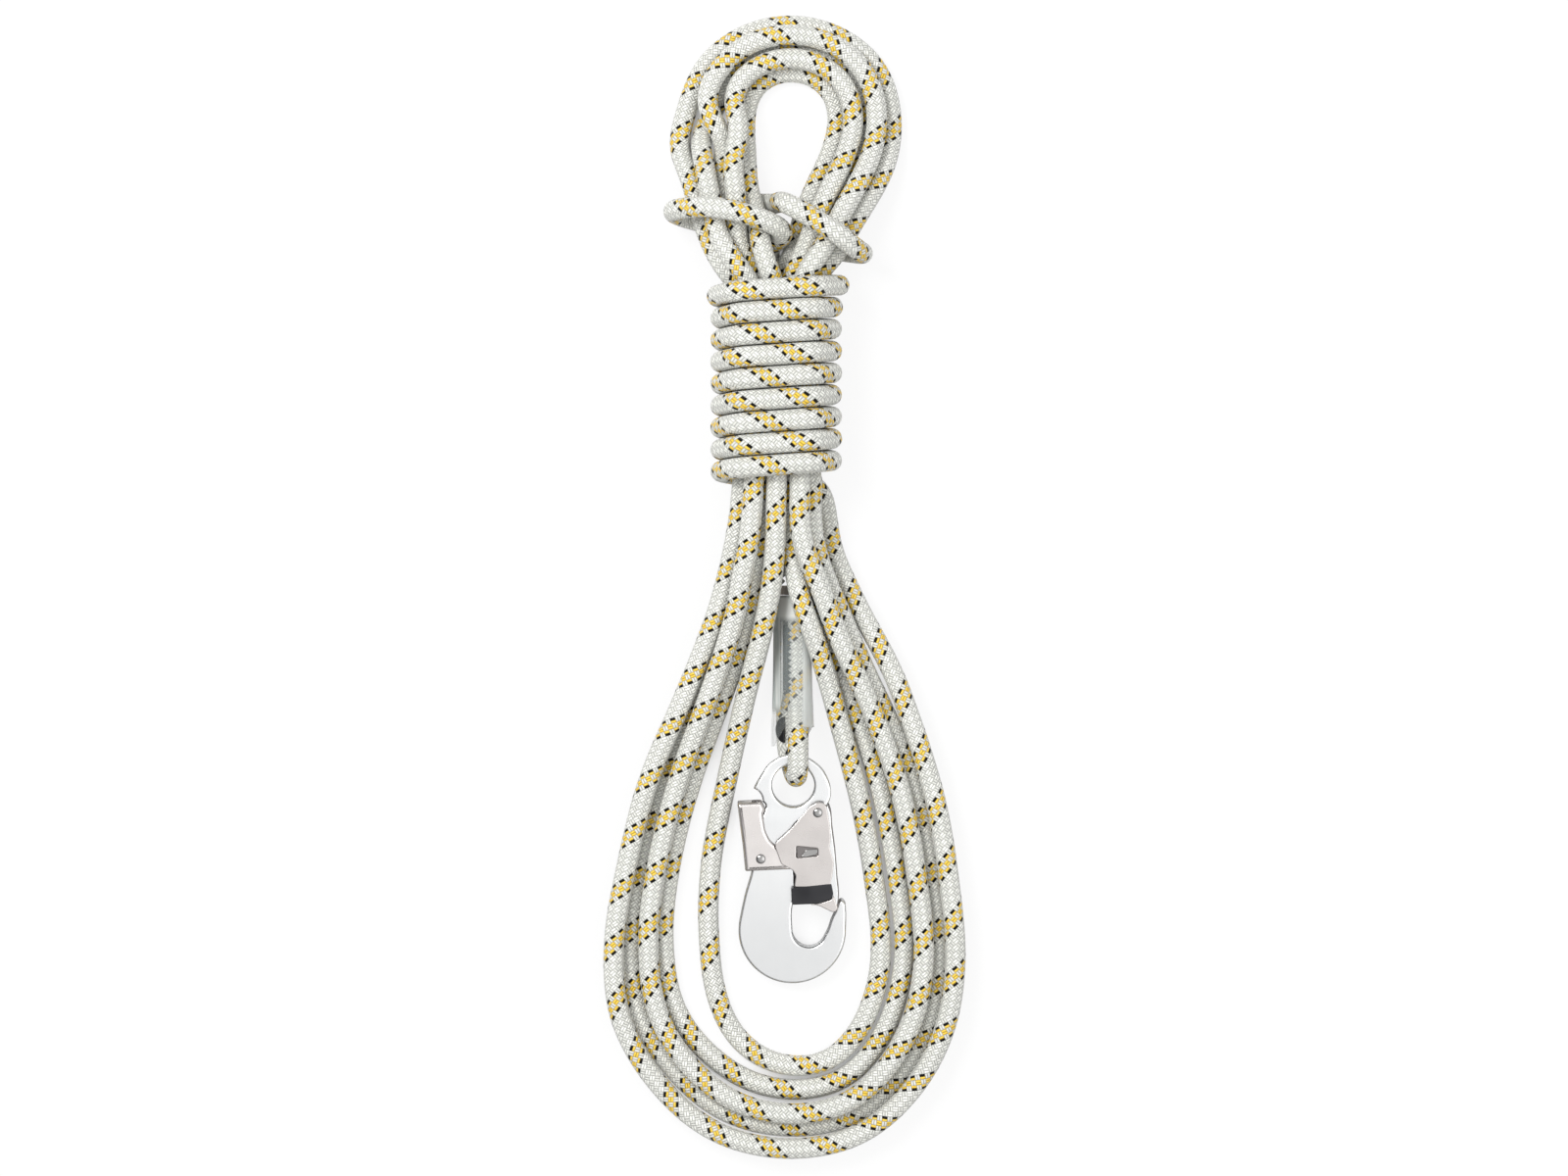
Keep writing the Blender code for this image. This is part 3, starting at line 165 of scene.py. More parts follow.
# Each strand's place in the neck: across, in pitches from the neck's axis, and its level
UP_SLOT_SHARES = [(0, BOTTOM), (0.5, MIDDLE), (1, BOTTOM), (1, TOP), (1.5, MIDDLE)]
DOWN_SLOT_SHARES = [(0, TOP), (-0.5, MIDDLE), (-1, TOP), (-1, BOTTOM), (-1.5, MIDDLE)]
BUNDLE_HULL_SHARES = [(1.5, 0), (1, 1), (-1, 1), (-1.5, 0), (-1, -1), (1, -1)]

# The free end: out of the top turn, through the head, round both sides of it and back to the tail
HITCH_ROUTE = [
    (-3.5, 165.5, 4.6), (-6.5, 173, 7.5), (-6.5, 181, 18), (-7, 186.5, 31), (-10, 192, 40),
    (-18.5, 196, 43.5), (-31.5, 199, 42), (-46, 200, 37), (-57.5, 200, 30), (-61.5, 199.5, 21.5),
    (-58.5, 198, 11), (-49, 195.5, 5), (-34, 192, 4.4), (-16, 187.5, 4.4), (5, 183.5, 4.4),
    (24.5, 180, 5), (37.5, 177.5, 11), (43.5, 176.5, 22), (41, 176, 33), (34, 180, 40),
    (23, 188, 42), (11, 196.5, 42.5), (1.5, 202, 41), (-2.5, 204, 33), (-2, 204, 22),
    (-4, 203.5, 12), (-10.5, 204, 5.4), (-21, 205.5, 4.4), (-34, 207, 4.4), (-45, 208.5, 4.4),
]
HOOK_LEG_ROUTE = [(7.15, -60, 17.05), (7.15, -30, 17.05), (7, -6, 17), (5.5, 12, 16.6), (0.5, 32, 16.1)]
SLEEVE_TOP_Y = -5.0 * MM

# Settling: how strands that lie too close are pressed apart
SETTLE_PASSES = 100
SETTLE_NEAR = 16.0 * MM
SETTLE_GAP = 1.2 * MM
SETTLE_PUSH_SHARE = 1.2
SETTLE_SMOOTH_SHARE = 0.05
SETTLE_SKIP = 7
SETTLE_REFRESH = 8
SETTLE_RAMP = 8
SETTLE_BLURS = 4
HOOK_LEG_STEPS = 12

# Sewn eye: two legs in a clear sleeve, and the round turn through the ring of the hook
SLEEVE_CLEARANCE = 1.0 * MM
SLEEVE_WALL = 0.7 * MM
SLEEVE_LIFT = 0.1 * MM
LEG_LEAN_DEG = 59.0
BACK_LEG_X = 1.2 * MM
BACK_LEG_Z = ROPE_D / 2 + SLEEVE_CLEARANCE + SLEEVE_WALL + SLEEVE_LIFT
FRONT_LEG_X = BACK_LEG_X + PITCH * math.cos(math.radians(LEG_LEAN_DEG))
FRONT_LEG_Z = BACK_LEG_Z + PITCH * math.sin(math.radians(LEG_LEAN_DEG))
LEG_SPREAD_Y = -66.0 * MM
LEG_EASE = 7.0 * MM
TURN_CLEARANCE_Y = 1.3 * MM
TURN_CLEARANCE_Z = 0.6 * MM
TURN_STEPS = 12
TURN_DRIFT_SHARE = 0.75
SLEEVE_BULGE = 1.4 * MM
SLEEVE_FRONT_END_Y = -75.0 * MM
SLEEVE_BACK_END_Y = -85.5 * MM
SLEEVE_ARC_STEPS = 10
THREAD_TOP_Y = -22.0 * MM
THREAD_BOTTOM_Y = -57.5 * MM
THREAD_WIDTH = 3.2 * MM
THREAD_ACROSS = 6.6 * MM
THREAD_LIFT = 0.15 * MM
LABEL_LENGTH = 35.0 * MM
LABEL_WIDTH = 3.8 * MM
LABEL_ACROSS = 0.4 * MM
LABEL_THICKNESS = 0.35 * MM
LABEL_TOP_Y = -20.5 * MM
WEDGE_LENGTH = 14.0 * MM
WEDGE_WIDTH = 5.6 * MM
WEDGE_DEPTH = 1.2 * MM
WEDGE_LIFT = 0.15 * MM
WEDGE_LEAN_DEG = 33.0
WEDGE_TOP_Y = -69.6 * MM
WEDGE_STEPS = 10
WEDGE_ROUND_SHARE = 0.4

# Snap hook: forged body, all its sizes measured from the middle of the ring's hole
RING_X = 4.6 * MM
RING_Y = -105.9 * MM
HOOK_TILT_DEG = 5.55
RING_HOLE_R = 11.3 * MM
RING_OUTER_R = 16.7 * MM
RING_THICKNESS = 7.5 * MM
BODY_THICKNESS = 10.0 * MM
HOOK_LENGTH = 123.0 * MM

# Round turn of the eye about the ring's bar
RING_BAR = RING_OUTER_R - RING_HOLE_R
BAR_MIDDLE_R = RING_HOLE_R + RING_BAR / 2
TURN_RADIUS_Y = (RING_BAR + ROPE_D) / 2 + TURN_CLEARANCE_Y
TURN_RADIUS_Z = (RING_THICKNESS + ROPE_D) / 2 + TURN_CLEARANCE_Z

# Pressed channels: the lever grips the body, and the gate grips the lever
SHEET = 1.5 * MM
PLATE_GAP = 0.3 * MM
LEVER_INNER = BODY_THICKNESS / 2 + PLATE_GAP
LEVER_OUTER = LEVER_INNER + SHEET
GATE_INNER = LEVER_OUTER + PLATE_GAP
GATE_OUTER = GATE_INNER + SHEET
SHEET_EDGE = 0.35 * MM
PIN_R = 1.7 * MM
PIN_CLEARANCE = 0.3 * MM
PIN_HEAD_R = 2.6 * MM
PIN_HEAD_H = 1.2 * MM
WINDOW_LENGTH = 10.6 * MM
WINDOW_TALL_END = 6.4 * MM
WINDOW_LOW_END = 4.2 * MM

# Round forms and pins of the hook, as shares of its length: middle across and down, and radius
GATE_PIN_SHARES = (0.1065, -0.1114)
LEVER_PIN_SHARES = (-0.1398, -0.3154)
BOSS_SHARES = (*GATE_PIN_SHARES, 0.0325)
THROAT_SHARES = (0.0683, -0.6333, 0.0715)
BELLY_SHARES = (-0.0041, -0.6317, 0.2325)
WINDOW_SHARES = (0.0130, -0.2870)
BOSS_ARC_DEG = (30, -100)
THROAT_ARC_DEG = (180, 338)

# Outlines of the hook's pieces, as shares of the hook's length from the middle of the ring's hole
UPPER_THROAT_SHARES = [
    (0.0650, -0.1420), (0.0240, -0.1560), (-0.0040, -0.2030), (0.0040, -0.2900), (0.0080, -0.3740),
    (0.0080, -0.4860), (-0.0024, -0.5244),
]
NOSE_SHARES = [
    (0.1485, -0.6330), (0.1650, -0.5855), (0.1790, -0.5550), (0.1870, -0.5320), (0.1940, -0.5110),
    (0.2090, -0.4980), (0.2240, -0.5110), (0.2290, -0.5390), (0.2300, -0.5855),
]
SPINE_SHARES = [
    (-0.2073, -0.4715), (-0.1797, -0.3740), (-0.1707, -0.3252), (-0.1504, -0.2033), (-0.1268, -0.1098),
    (-0.1200, -0.0943),
]
LEVER_SHARES = [
    (-0.0057, -0.3634), (-0.2073, -0.3724), (-0.2180, -0.2600), (-0.2423, -0.0732), (-0.1366, -0.0675),
    (-0.1211, -0.1024), (-0.1301, -0.1195), (-0.1179, -0.1935), (-0.1000, -0.2317), (-0.0600, -0.2700),
    (-0.0180, -0.2960),
]
GATE_SHARES = [
    (0.1033, -0.0675), (0.0715, -0.0846), (-0.0130, -0.1862), (-0.0756, -0.2423), (-0.0789, -0.2593),
    (-0.0512, -0.3366), (-0.0024, -0.3618), (0.0122, -0.3862), (0.0049, -0.4360), (0.1642, -0.4360),
    (0.1626, -0.4211), (0.1699, -0.3862), (0.1764, -0.3260), (0.1569, -0.2593), (0.1626, -0.2317),
    (0.1593, -0.1748), (0.1500, -0.1150), (0.1415, -0.0780), (0.1250, -0.0680),
]
GATE_CHANNEL_SHARES = [
    (0.1290, -0.0300), (-0.1300, -0.0300), (-0.1300, -0.4700), (0.1500, -0.4700), (0.1490, -0.4100),
    (0.1560, -0.3860), (0.1620, -0.3260), (0.1440, -0.2610), (0.1490, -0.2300), (0.1460, -0.1750),
    (0.1430, -0.1150), (0.1340, -0.0850),
]
TIP_CHANNEL_SHARES = [(-0.0600, -0.4100), (-0.0600, -0.5700), (0.1500, -0.5700), (0.1500, -0.4100)]

# Braid: eight pairs of carriers, each of two yarns, its tracer band, and the mesh that carries it
BRAID_PITCH = 30.2 * MM
CARRIERS = 8
TRACER_LAST = 5
ROPE_RING_STEP = 2.2 * MM
ROPE_SIDES = 18
EYE_RING_STEP = 1.5 * MM
EYE_TWIST = 0.2
EYE_TWIST_Y = -84.0 * MM
EYE_TWIST_REACH = 14.0 * MM
FLOOR_LIFT = 0.2 * MM

# Relief of the sheath: how round a yarn is across and along, how high, and how dark its sides are
# painted as shade
YARN_POWERS = (2.2, 3.0)
YARN_SAG = 0.65
YARN_RISE = 0.4 * MM
# Painted shade: a yarn is coloured darker toward its edges and in the gaps between yarns
YARN_SHADE = (0.40, 1.0)
YARN_SHADE_POWER = 0.8
# Painted shade: left-hand yarns are coloured darker than right-hand ones, as if lit from one side
LEFT_YARN_PAINTED_SHADE = 0.79
FLECK_DEPTH = 0.22
FLECK_SCALE = 260.0

# Colours of the sheath, as screen values, with the scale and detail of their changes, and its gloss
WHITE_YARN = ((233, 234, 226), (250, 250, 243), 60.0, 3.0)
GOLD_YARN = ((226, 180, 34), (250, 216, 84), 700.0, 1.0)
TRACER_BLACK = (5, 5, 5)
SHEATH_ROUGHNESS = 0.42
SHEATH_SHEEN = 0.1
SHEATH_SPECULAR = (0.5, 0.12)

# Clear sleeve: its rings, where it is milky and painted light over the shade of the strands, its tones,
# and how much each part of it hides
SLEEVE_RINGS = 36
# The milky left leg and top are painted light: a lighter, more hiding tone over the shade of the strands
# beside the sleeve
MILKY_LEFT_X = -2.6 * MM
MILKY_RIGHT_X = 8.6 * MM
MILKY_FADE = 0.9 * MM
MILKY_FULL_Y = -62.0 * MM
MILKY_END_Y = -69.0 * MM
MILKY_TOP_Y = -20.0 * MM
MILKY_TOP_FADE = 4.5 * MM
MILKY_RIGHT_SHARE = 0.55
CLEAR_TONE = (186, 192, 190)
MILKY_PAINTED_LIGHT_TONE = (234, 236, 233)
# Streaks on the left leg: the sleeve's folds, with painted shade
FOLD_AND_PAINTED_SHADE_TONE = (198, 206, 204)
STREAK_RAMP = (0.35, 0.6)
STREAK_SCALE = 620.0
STREAK_STRETCH = (1.0, 0.03, 0.0)
HAZE_SCALE = 160.0
HAZE_STRETCH = (1.0, 0.15, 1.0)
HAZE_RISE = 0.1 * MM
CLEAR_HIDES = 0.08
HAZE_HIDES = 0.12
EDGE_HIDES = 0.40
MILKY_HIDES = 0.74
END_SHARE = 0.4
EDGE_POWER = 2.5
SLEEVE_ROUGHNESS = 0.16
SLEEVE_SPECULAR = 0.6

# Strip, stitches over the seam, and painted shadow between the stitches, cut into dark teeth under them
LABEL_ROWS = 30
LABEL_COLUMNS = 4
STITCH_STEP = 1.6 * MM
STITCH_D = 0.3 * MM
STITCH_SIDES = 8
STITCH_CUTS = 8
STITCHES = int((THREAD_TOP_Y - THREAD_BOTTOM_Y) / STITCH_STEP)
SEAM_SHADOW_ACROSS = 4.9 * MM
SEAM_SHADOW_WIDTH = 3.3 * MM
SEAM_SHADOW_OVERLAP = 0.5 * MM
SEAM_SHADOW_LIFT = 3.2 * THREAD_LIFT
SEAM_SHADOW_THICKNESS = THREAD_LIFT / 3

# Thread: its twists along and round it, its tones as screen values, its relief and roughness
THREAD_TWISTS = (40.0, 2.0)
THREAD_TONES = ((225, 226, 224), (250, 250, 249))
THREAD_RISE = 0.1 * MM
THREAD_ROUGHNESS = 0.55

# Thin cord beside the strip
CORD_D = 0.9 * MM
CORD_SIDES = 10
CORD_TOP_Y = -18.0 * MM
CORD_BOTTOM_Y = -66.0 * MM
CORD_BEND_Y = -56.0 * MM
CORD_ACROSS = -0.1 * MM
CORD_SWAY = 4.5 * MM

# Finer outlines of the hook
FULL_RING_DEG = (116, 62)
BELLY_ENDS_DEG = (0, -189)
FLARE_SHARES = [
    (0.1281, 0.0676), (0.1518, 0.0237), (0.1632, -0.0169), (0.1619, -0.0503), (0.1518, -0.0774),
]
BEAK_SHARES = [(-0.1700, -0.0125), (-0.1585, 0.0101), (-0.1382, 0.0438), (-0.1079, 0.0890)]
BITE_SHARES = [
    (-0.1200, -0.0943), (-0.1215, -0.0800), (-0.1310, -0.0708), (-0.1335, -0.0539), (-0.1450, -0.0303),
    (-0.1618, -0.0169),
]
LEVER_HOLLOW_SHARES = [
    (0.0600, -0.4100), (-0.1920, -0.4100), (-0.2060, -0.2600), (-0.2270, -0.0860), (-0.1800, -0.0860),
    (-0.1800, -0.0300), (0.0600, -0.0300),
]
SHOE_SHARES = [
    (-0.0089, -0.4390), (-0.0057, -0.5138), (0.0877, -0.5105), (0.1146, -0.5057), (0.1650, -0.4890),
    (0.1750, -0.4690), (0.1650, -0.4205), (0.1480, -0.4215), (0.0700, -0.4300),
]
TAIL_SHARES = [
    (0.0750, -0.5125), (0.1146, -0.5192), (0.1416, -0.5327), (0.1686, -0.5462), (0.1854, -0.5428),
    (0.1922, -0.5260), (0.1820, -0.4956), (0.1765, -0.4690), (0.1665, -0.4905), (0.1155, -0.5072),
    (0.0877, -0.5120),
]
SPINE_OUTER_SHARES = [
    (0.1485, -0.0801), (0.1599, -0.1138), (0.1653, -0.1745), (0.1720, -0.2285), (0.1788, -0.2824),
    (0.1822, -0.3228), (0.1855, -0.3633), (0.1889, -0.4105), (0.1937, -0.4509), (0.1923, -0.4981),
    (0.1869, -0.5319),
]
SPINE_INNER_SHARES = [
    (0.1400, -0.0900), (0.1450, -0.1206), (0.1540, -0.1878), (0.1580, -0.2220), (0.1480, -0.2488),
    (0.1480, -0.2821), (0.1640, -0.3228), (0.1680, -0.3569), (0.1580, -0.4171), (0.1600, -0.4512),
    (0.1700, -0.4984), (0.1780, -0.5285),
]
TONGUE_SHARES = [
    (0.0539, -0.2744), (0.1065, -0.2715), (0.1045, -0.2933), (0.0573, -0.3060), (0.0303, -0.3060),
    (0.0470, -0.2866),
]

# Edges of the hook's pieces: their rounding, steps and eased corners
FORGED_EDGE = 1.5 * MM
FOLD_EDGE = 2.4 * MM
RIM_EDGE = 0.55 * MM
SPINE_EDGE = 0.5 * MM
EDGE_ROUNDS = 4
CORNER_ROUND = 1.2 * MM
CORNER_LIMIT = 0.45
CORNER_STEPS = 5
WINDOW_ROUND = 0.9 * MM
FINE_ARC = 40
DOME_STEPS = 11
SPLINE_STEP = 0.7 * MM
SHARP_DEG = 38.0
WELD_REACH = 0.001 * MM

# Where the forging thins toward its ring and along the ring's bar, by height on the hook
THIN_FROM = -20.0 * MM
THIN_TO = -9.5 * MM
BAR_FROM = 3.0 * MM
BAR_TO = 11.0 * MM
BAR_SHARE = 0.78
THINNING_CUTS = 12

# How far the shoe, the strip on the spine, the louver and the tongue lie above or below the gate
SHOE_RISE = 0.12 * MM
SPINE_DROP = 0.7 * MM
# How far the sheet of painted shade lies under the spine strip
SPINE_SHADE_DROP = 0.8 * MM
LOUVER_DEPTH = 1.2 * MM
LOUVER_SHIFT = 0.4 * MM
TONGUE_DROP = 0.6 * MM
WINDOW_RISE = 0.4 * MM
WINDOW_REACH = 1.0 * MM

# Finish of the gate's two parts
GATE_SLOTS = {"gate_shell": "gate_steel", "gate_tip": "tip_steel"}

# Steels: light and dark tone, roughness, fineness of the grain, how it is drawn out, and the share
# of its tone left low on the hook as painted shade
METALS = {
    "bright_steel": ((0.82, 0.825, 0.825), (0.74, 0.75, 0.755), 0.24, 350.0, (1.0, 0.12, 1.0), 0.88),
    "gate_sheet": ((0.68, 0.645, 0.625), (0.49, 0.462, 0.448), 0.28, 200.0, (0.4, 1.0, 1.0), 1.0),
    "lever_sheet": ((0.78, 0.745, 0.725), (0.60, 0.57, 0.555), 0.28, 200.0, (1.0, 0.4, 1.0), 1.0),
    # painted reflection: the shoe's near-black stands for the dark that the gate's bent end reflects
    "painted_reflection_shoe": ((0.075, 0.075, 0.08), (0.02, 0.02, 0.022), 0.3, 260.0, (0.12, 1.0, 1.0), 1.0),
    "polished_rivet": ((0.42, 0.415, 0.41), (0.30, 0.295, 0.29), 0.12, 200.0, (1.0, 1.0, 1.0), 1.0),
    # painted shade: a dark steel for the louver in the slot and the sheet under the spine strip
    "painted_shade_steel": ((0.24, 0.225, 0.22), (0.14, 0.13, 0.13), 0.34, 200.0, (1.0, 1.0, 1.0), 1.0),
    "spacer_steel": ((0.7, 0.7, 0.71), (0.6, 0.6, 0.61), 0.3, 200.0, (1.0, 1.0, 1.0), 1.0),
}
# Painted shade: the bright steel darkens from the first height down to the second
PAINTED_SHADE_START_Y = -0.135
PAINTED_SHADE_FULL_Y = -0.205
GRAIN_RISE = 0.02 * MM
GRAIN_ROUGHNESS = 0.12
CLOUD_SCALE = 45.0

# Plastics: two tones as screen values, roughness, and the scale of the uneven surface
PLASTICS = {
    # the label's strip and the seam's painted shadow: its dark teal is painted shade between the eye's
    # legs
    "label_and_painted_shade": ((36, 54, 58), (22, 38, 42), 0.6, 120.0),
    "black_rubber": ((14, 14, 15), (30, 30, 32), 0.16, 60.0),
    "melted_end": ((205, 198, 182), (176, 160, 132), 0.4, 120.0),
    # painted light: the eye's sealed end is coloured much lighter than its reddish brown, against the
    # shade it lies in
    "melted_eye_end_painted_light": ((232, 222, 214), (206, 186, 174), 0.4, 120.0),
}

MOULD_RISE = 0.05 * MM

# Camera: one unit of the view is this wide in space
PIXEL = 0.52 * MM
VIEW_WIDTH = 1600 * PIXEL
VIEW_CENTRE = (-0.5 * PIXEL, -2.0 * PIXEL)
CAMERA_HEIGHT = 2.6
MIDDLE_HEIGHT = 25.0 * MM
SENSOR = 36.0
FAR_CLIP = 20.0

# Lights: name, place, size and power
LIGHTS = (("key", (-0.9, 0.7, 1.6), 0.8, 25.0), ("fill", (1.1, -0.3, 1.5), 1.4, 8.0))

# Sky: tones low and high and where they start, its strength, and how reflections lean to the right
SKY_TONES = ((0.20, 0.20, 0.21, 1), (1.0, 1.0, 1.0, 1))
SKY_HEIGHTS = (0.15, 0.85)
SKY_STRENGTH = 1.1
SKY_LEAN = 0.45

# Floor: its half width, its drop, how its glow fades in a crevice, and how dark reflections see it
FLOOR_HALF = 3.0
FLOOR_DROP = 0.05 * MM
FLOOR_TONE = 0.82
FLOOR_ROUGHNESS = 0.9
CREVICE_REACH = 15.0 * MM
CREVICE_RAMP = (0.15, 0.45, 0.2, 0.86)
REFLECTED_RAMP = (-0.17, -0.03, 0.05, 0.55)


# Route of the rope

def in_metres(points):
    """A table in millimetres as an array in metres."""
    return np.array(points, float) * MM


def along(points):
    """Distance along a route at each of its points."""
    return np.concatenate([[0.0], np.cumsum(np.linalg.norm(np.diff(points, axis=0), axis=1))])


def smooth_route(guide, step):
    """A smooth curve through the guide's points, with a point about every step."""
    p = np.asarray(guide, float)
    t = along(p)
    d = np.diff(t)[:, None]
    slope = np.diff(p, axis=0) / d
    tangent = np.empty_like(p)
    tangent[1:-1] = (slope[:-1] * d[1:] + slope[1:] * d[:-1]) / (d[1:] + d[:-1])
    tangent[0] = (3 * slope[0] - tangent[1]) / 2
    tangent[-1] = (3 * slope[-1] - tangent[-2]) / 2
    s = np.linspace(0, t[-1], int(round(t[-1] / step)) + 1)
    k = np.clip(np.searchsorted(t, s, side="right") - 1, 0, len(d) - 1)
    u = ((s - t[k]) / d[k, 0])[:, None]
    return (
        (2 * u**3 - 3 * u**2 + 1) * p[k]
        + (u**3 - 2 * u**2 + u) * d[k] * tangent[k]
        + (3 * u**2 - 2 * u**3) * p[k + 1]
        + (u**3 - u**2) * d[k] * tangent[k + 1]
    )


def station(inner, outer, share, level):
    """A strand's place between the inmost and the outmost line, at its level in the pile."""
    x, y = inner + share * (outer - inner)
    return (x, y, FLOOR_Z + level * ROW)


def ranked(lines, rank):
    """One strand's guide, on a loop below the neck or on a pass round the head."""
    inner, outer, across, levels = lines
    rows = zip(in_metres(inner), in_metres(outer), across, levels)
    return [station(a, b, share[rank], level[rank]) for a, b, share, level in rows]


def neck_guide(slot):
    """A strand's straight run up through the neck, spread a little under the top turns."""
    across, level = slot
    ys = np.linspace(NECK_BOTTOM_Y, NECK_TOP_Y, NECK_STATIONS)
    flares = 1 + BUNDLE_FLARE_SHARE * (np.arange(NECK_STATIONS) == NECK_STATIONS - 1)
    return [(NECK_X + across * PITCH * f, y, FLOOR_Z + level * ROW) for y, f in zip(ys, flares)]


def wrap_section():
    """The rounded outline, across the neck, that a turn follows round the bundle."""
    hull = np.array(BUNDLE_HULL_SHARES) * (PITCH, ROW)
    points = []
    for before, here, after in zip(np.roll(hull, 1, 0), hull, np.roll(hull, -1, 0)):
        start = math.atan2(*(here - before)[::-1]) - math.pi / 2
        end = math.atan2(*(after - here)[::-1]) - math.pi / 2
        end += 2 * math.pi * (end < start)
        angles = np.linspace(start, end, WRAP_CORNER_STEPS + 1)
        points += [here + (PITCH + WRAP_SLACK) * np.array([math.cos(a), math.sin(a)]) for a in angles]
    return np.array(points + points[:1])


def wraps_at(turns):
    """Points on the turns round the neck: a helix that climbs, its last turn opening out."""
    section = wrap_section()
    t = along(section)
    s = (-turns % 1.0) * t[-1]
    opening = np.clip((turns - (WRAPS - TOP_FLARE_TURNS)) / TOP_FLARE_TURNS, 0, None)
    x = np.interp(s, t, section[:, 0]) * (1 + TOP_FLARE_SHARE * opening**2)
    y = FIRST_WRAP_Y + (turns - WRAP_PHASE) * WRAP_PITCH
    z = np.interp(s, t, section[:, 1])
    return np.stack([NECK_X + x, y, NECK_Z + z], axis=1)


def wraps_route():
    """The turns round the neck, evenly stepped."""
    steps = int(along(wrap_section())[-1] / ROUTE_STEP * WRAPS)
    return wraps_at(np.linspace(WRAP_START, WRAPS + WRAP_RUN_ON, steps + 1))


def rope_guide():
    """Guide points of the rope from the sleeve to the first turn round the neck."""
    guide = [tuple(p) for p in in_metres(HOOK_LEG_ROUTE)] + neck_guide(UP_SLOT_SHARES[0])
    for rank in range(LOOPS):
        guide += ranked(HEAD, rank) + neck_guide(DOWN_SLOT_SHARES[rank])[::-1] + ranked(LOOP, rank)
        if rank < LOOPS - 1:
            guide += neck_guide(UP_SLOT_SHARES[rank + 1])
    return guide + list(in_metres(WRAP_LEAD_IN))


def near_pairs(points):
    """Pairs of points that lie near each other but apart along the rope."""
    first, second = [], []
    for k, point in enumerate(points):
        later = points[k + SETTLE_SKIP + 1 :]
        near = np.nonzero(((later - point) ** 2).sum(1) < SETTLE_NEAR**2)[0]
        first.append(np.full(len(near), k))
        second.append(near + k + SETTLE_SKIP + 1)
    return np.concatenate(first), np.concatenate(second)


def sleeve_push(points):
    """How far each point has to move to stay clear of the sleeve's two legs."""
    ys = np.arange(SLEEVE_FRONT_END_Y, SLEEVE_TOP_Y, ROUTE_STEP)
    legs = [(FRONT_LEG_X, y, FRONT_LEG_Z) for y in ys] + [(BACK_LEG_X, y, BACK_LEG_Z) for y in ys]
    reach = ROPE_D + SLEEVE_CLEARANCE + SLEEVE_WALL + LEAST_GAP
    apart = points[:, None, :] - np.array(legs)[None, :, :]
    far = np.linalg.norm(apart, axis=2)
    near = far.argmin(1)
    rows = np.arange(len(points))
    out = np.clip(reach - far[rows, near], 0, None) / far[rows, near]
    return apart[rows, near] * out[:, None]


def settle(points, free):
    """Press apart strands that lie closer than a rope, as a tightened hank does."""
    for turn in range(SETTLE_PASSES):
        if turn % SETTLE_REFRESH == 0:
            a, b = near_pairs(points)
        apart = points[b] - points[a]
        far = np.linalg.norm(apart, axis=1)
        gap = STRAND_GAP + (SETTLE_GAP - STRAND_GAP) * np.maximum(free[a], free[b])
        push = np.clip(ROPE_D + gap - far, 0, None)
        shove = apart * (push / far / np.maximum(free[a] + free[b], 1))[:, None]
        move = np.zeros_like(points)
        count = np.zeros(len(points))
        np.add.at(move, a, -shove)
        np.add.at(move, b, shove)
        np.add.at(count, a, push > 0)
        np.add.at(count, b, push > 0)
        move = move / np.sqrt(np.maximum(count, 1))[:, None] + sleeve_push(points) * free[:, None]
        for _ in range(SETTLE_BLURS):
            move[1:-1] = (move[:-2] + 2 * move[1:-1] + move[2:]) / 4
        bend = np.zeros_like(points)
        bend[1:-1] = (points[:-2] + points[2:]) / 2 - points[1:-1]
        points = points + (SETTLE_PUSH_SHARE * move + SETTLE_SMOOTH_SHARE * bend) * free[:, None]
        points[:, 2] = np.maximum(points[:, 2], FLOOR_Z)
    return points


def run_into(guide, turns):
    """A smooth route that runs on into the turns in their own direction, and ends at their start."""
    start, ahead = turns[:2]
    whole = smooth_route([*guide, 2 * start - ahead, start, ahead], ROUTE_STEP)
    beyond = int(round(np.linalg.norm(ahead - start) / ROUTE_STEP)) + 1
    return np.concatenate([whole[:-beyond], turns[:1]])


def rope_route():
    """The settled route of the hank."""
    turns = wraps_route()
    main = run_into(rope_guide(), turns)
    tail = run_into(in_metres(HITCH_ROUTE)[::-1], turns[::-1])[::-1]
    points = np.concatenate([main, turns[1:-1], tail])
    first, last = len(main) - 1, len(main) + len(turns) - 2
    place = np.arange(len(points))
    beyond = np.maximum(first - place, place - last) - RUN_IN_STEPS
    free = np.clip(beyond / SETTLE_RAMP, 0, 1)
    free[: int(-SLEEVE_TOP_Y / ROUTE_STEP) + HOOK_LEG_STEPS] = 0
    return settle(points, free)


def eye_route():
    """The hook's leg out of the sleeve, round the bar of the ring and back up beside itself."""
    bar_y, bar_z = swing_axis()
    straight = (SLEEVE_TOP_Y, LEG_SPREAD_Y / 2, LEG_SPREAD_Y + LEG_EASE, LEG_SPREAD_Y)
    down = [(FRONT_LEG_X, y, FRONT_LEG_Z) for y in straight]
    around = []
    for k in range(TURN_STEPS + 1):
        angle = math.pi * k / TURN_STEPS
        drift = TURN_DRIFT_SHARE * (k / TURN_STEPS) ** 2
        x = FRONT_LEG_X + drift * (BACK_LEG_X - FRONT_LEG_X)
        y = bar_y - TURN_RADIUS_Y * math.sin(angle)
        z = bar_z + TURN_RADIUS_Z * math.cos(angle)
        around.append((x, y, max(z, FLOOR_Z)))
    back = [(BACK_LEG_X, y, BACK_LEG_Z) for y in straight[::-1]]
    return smooth_route(down + around + back, ROUTE_STEP / 2)


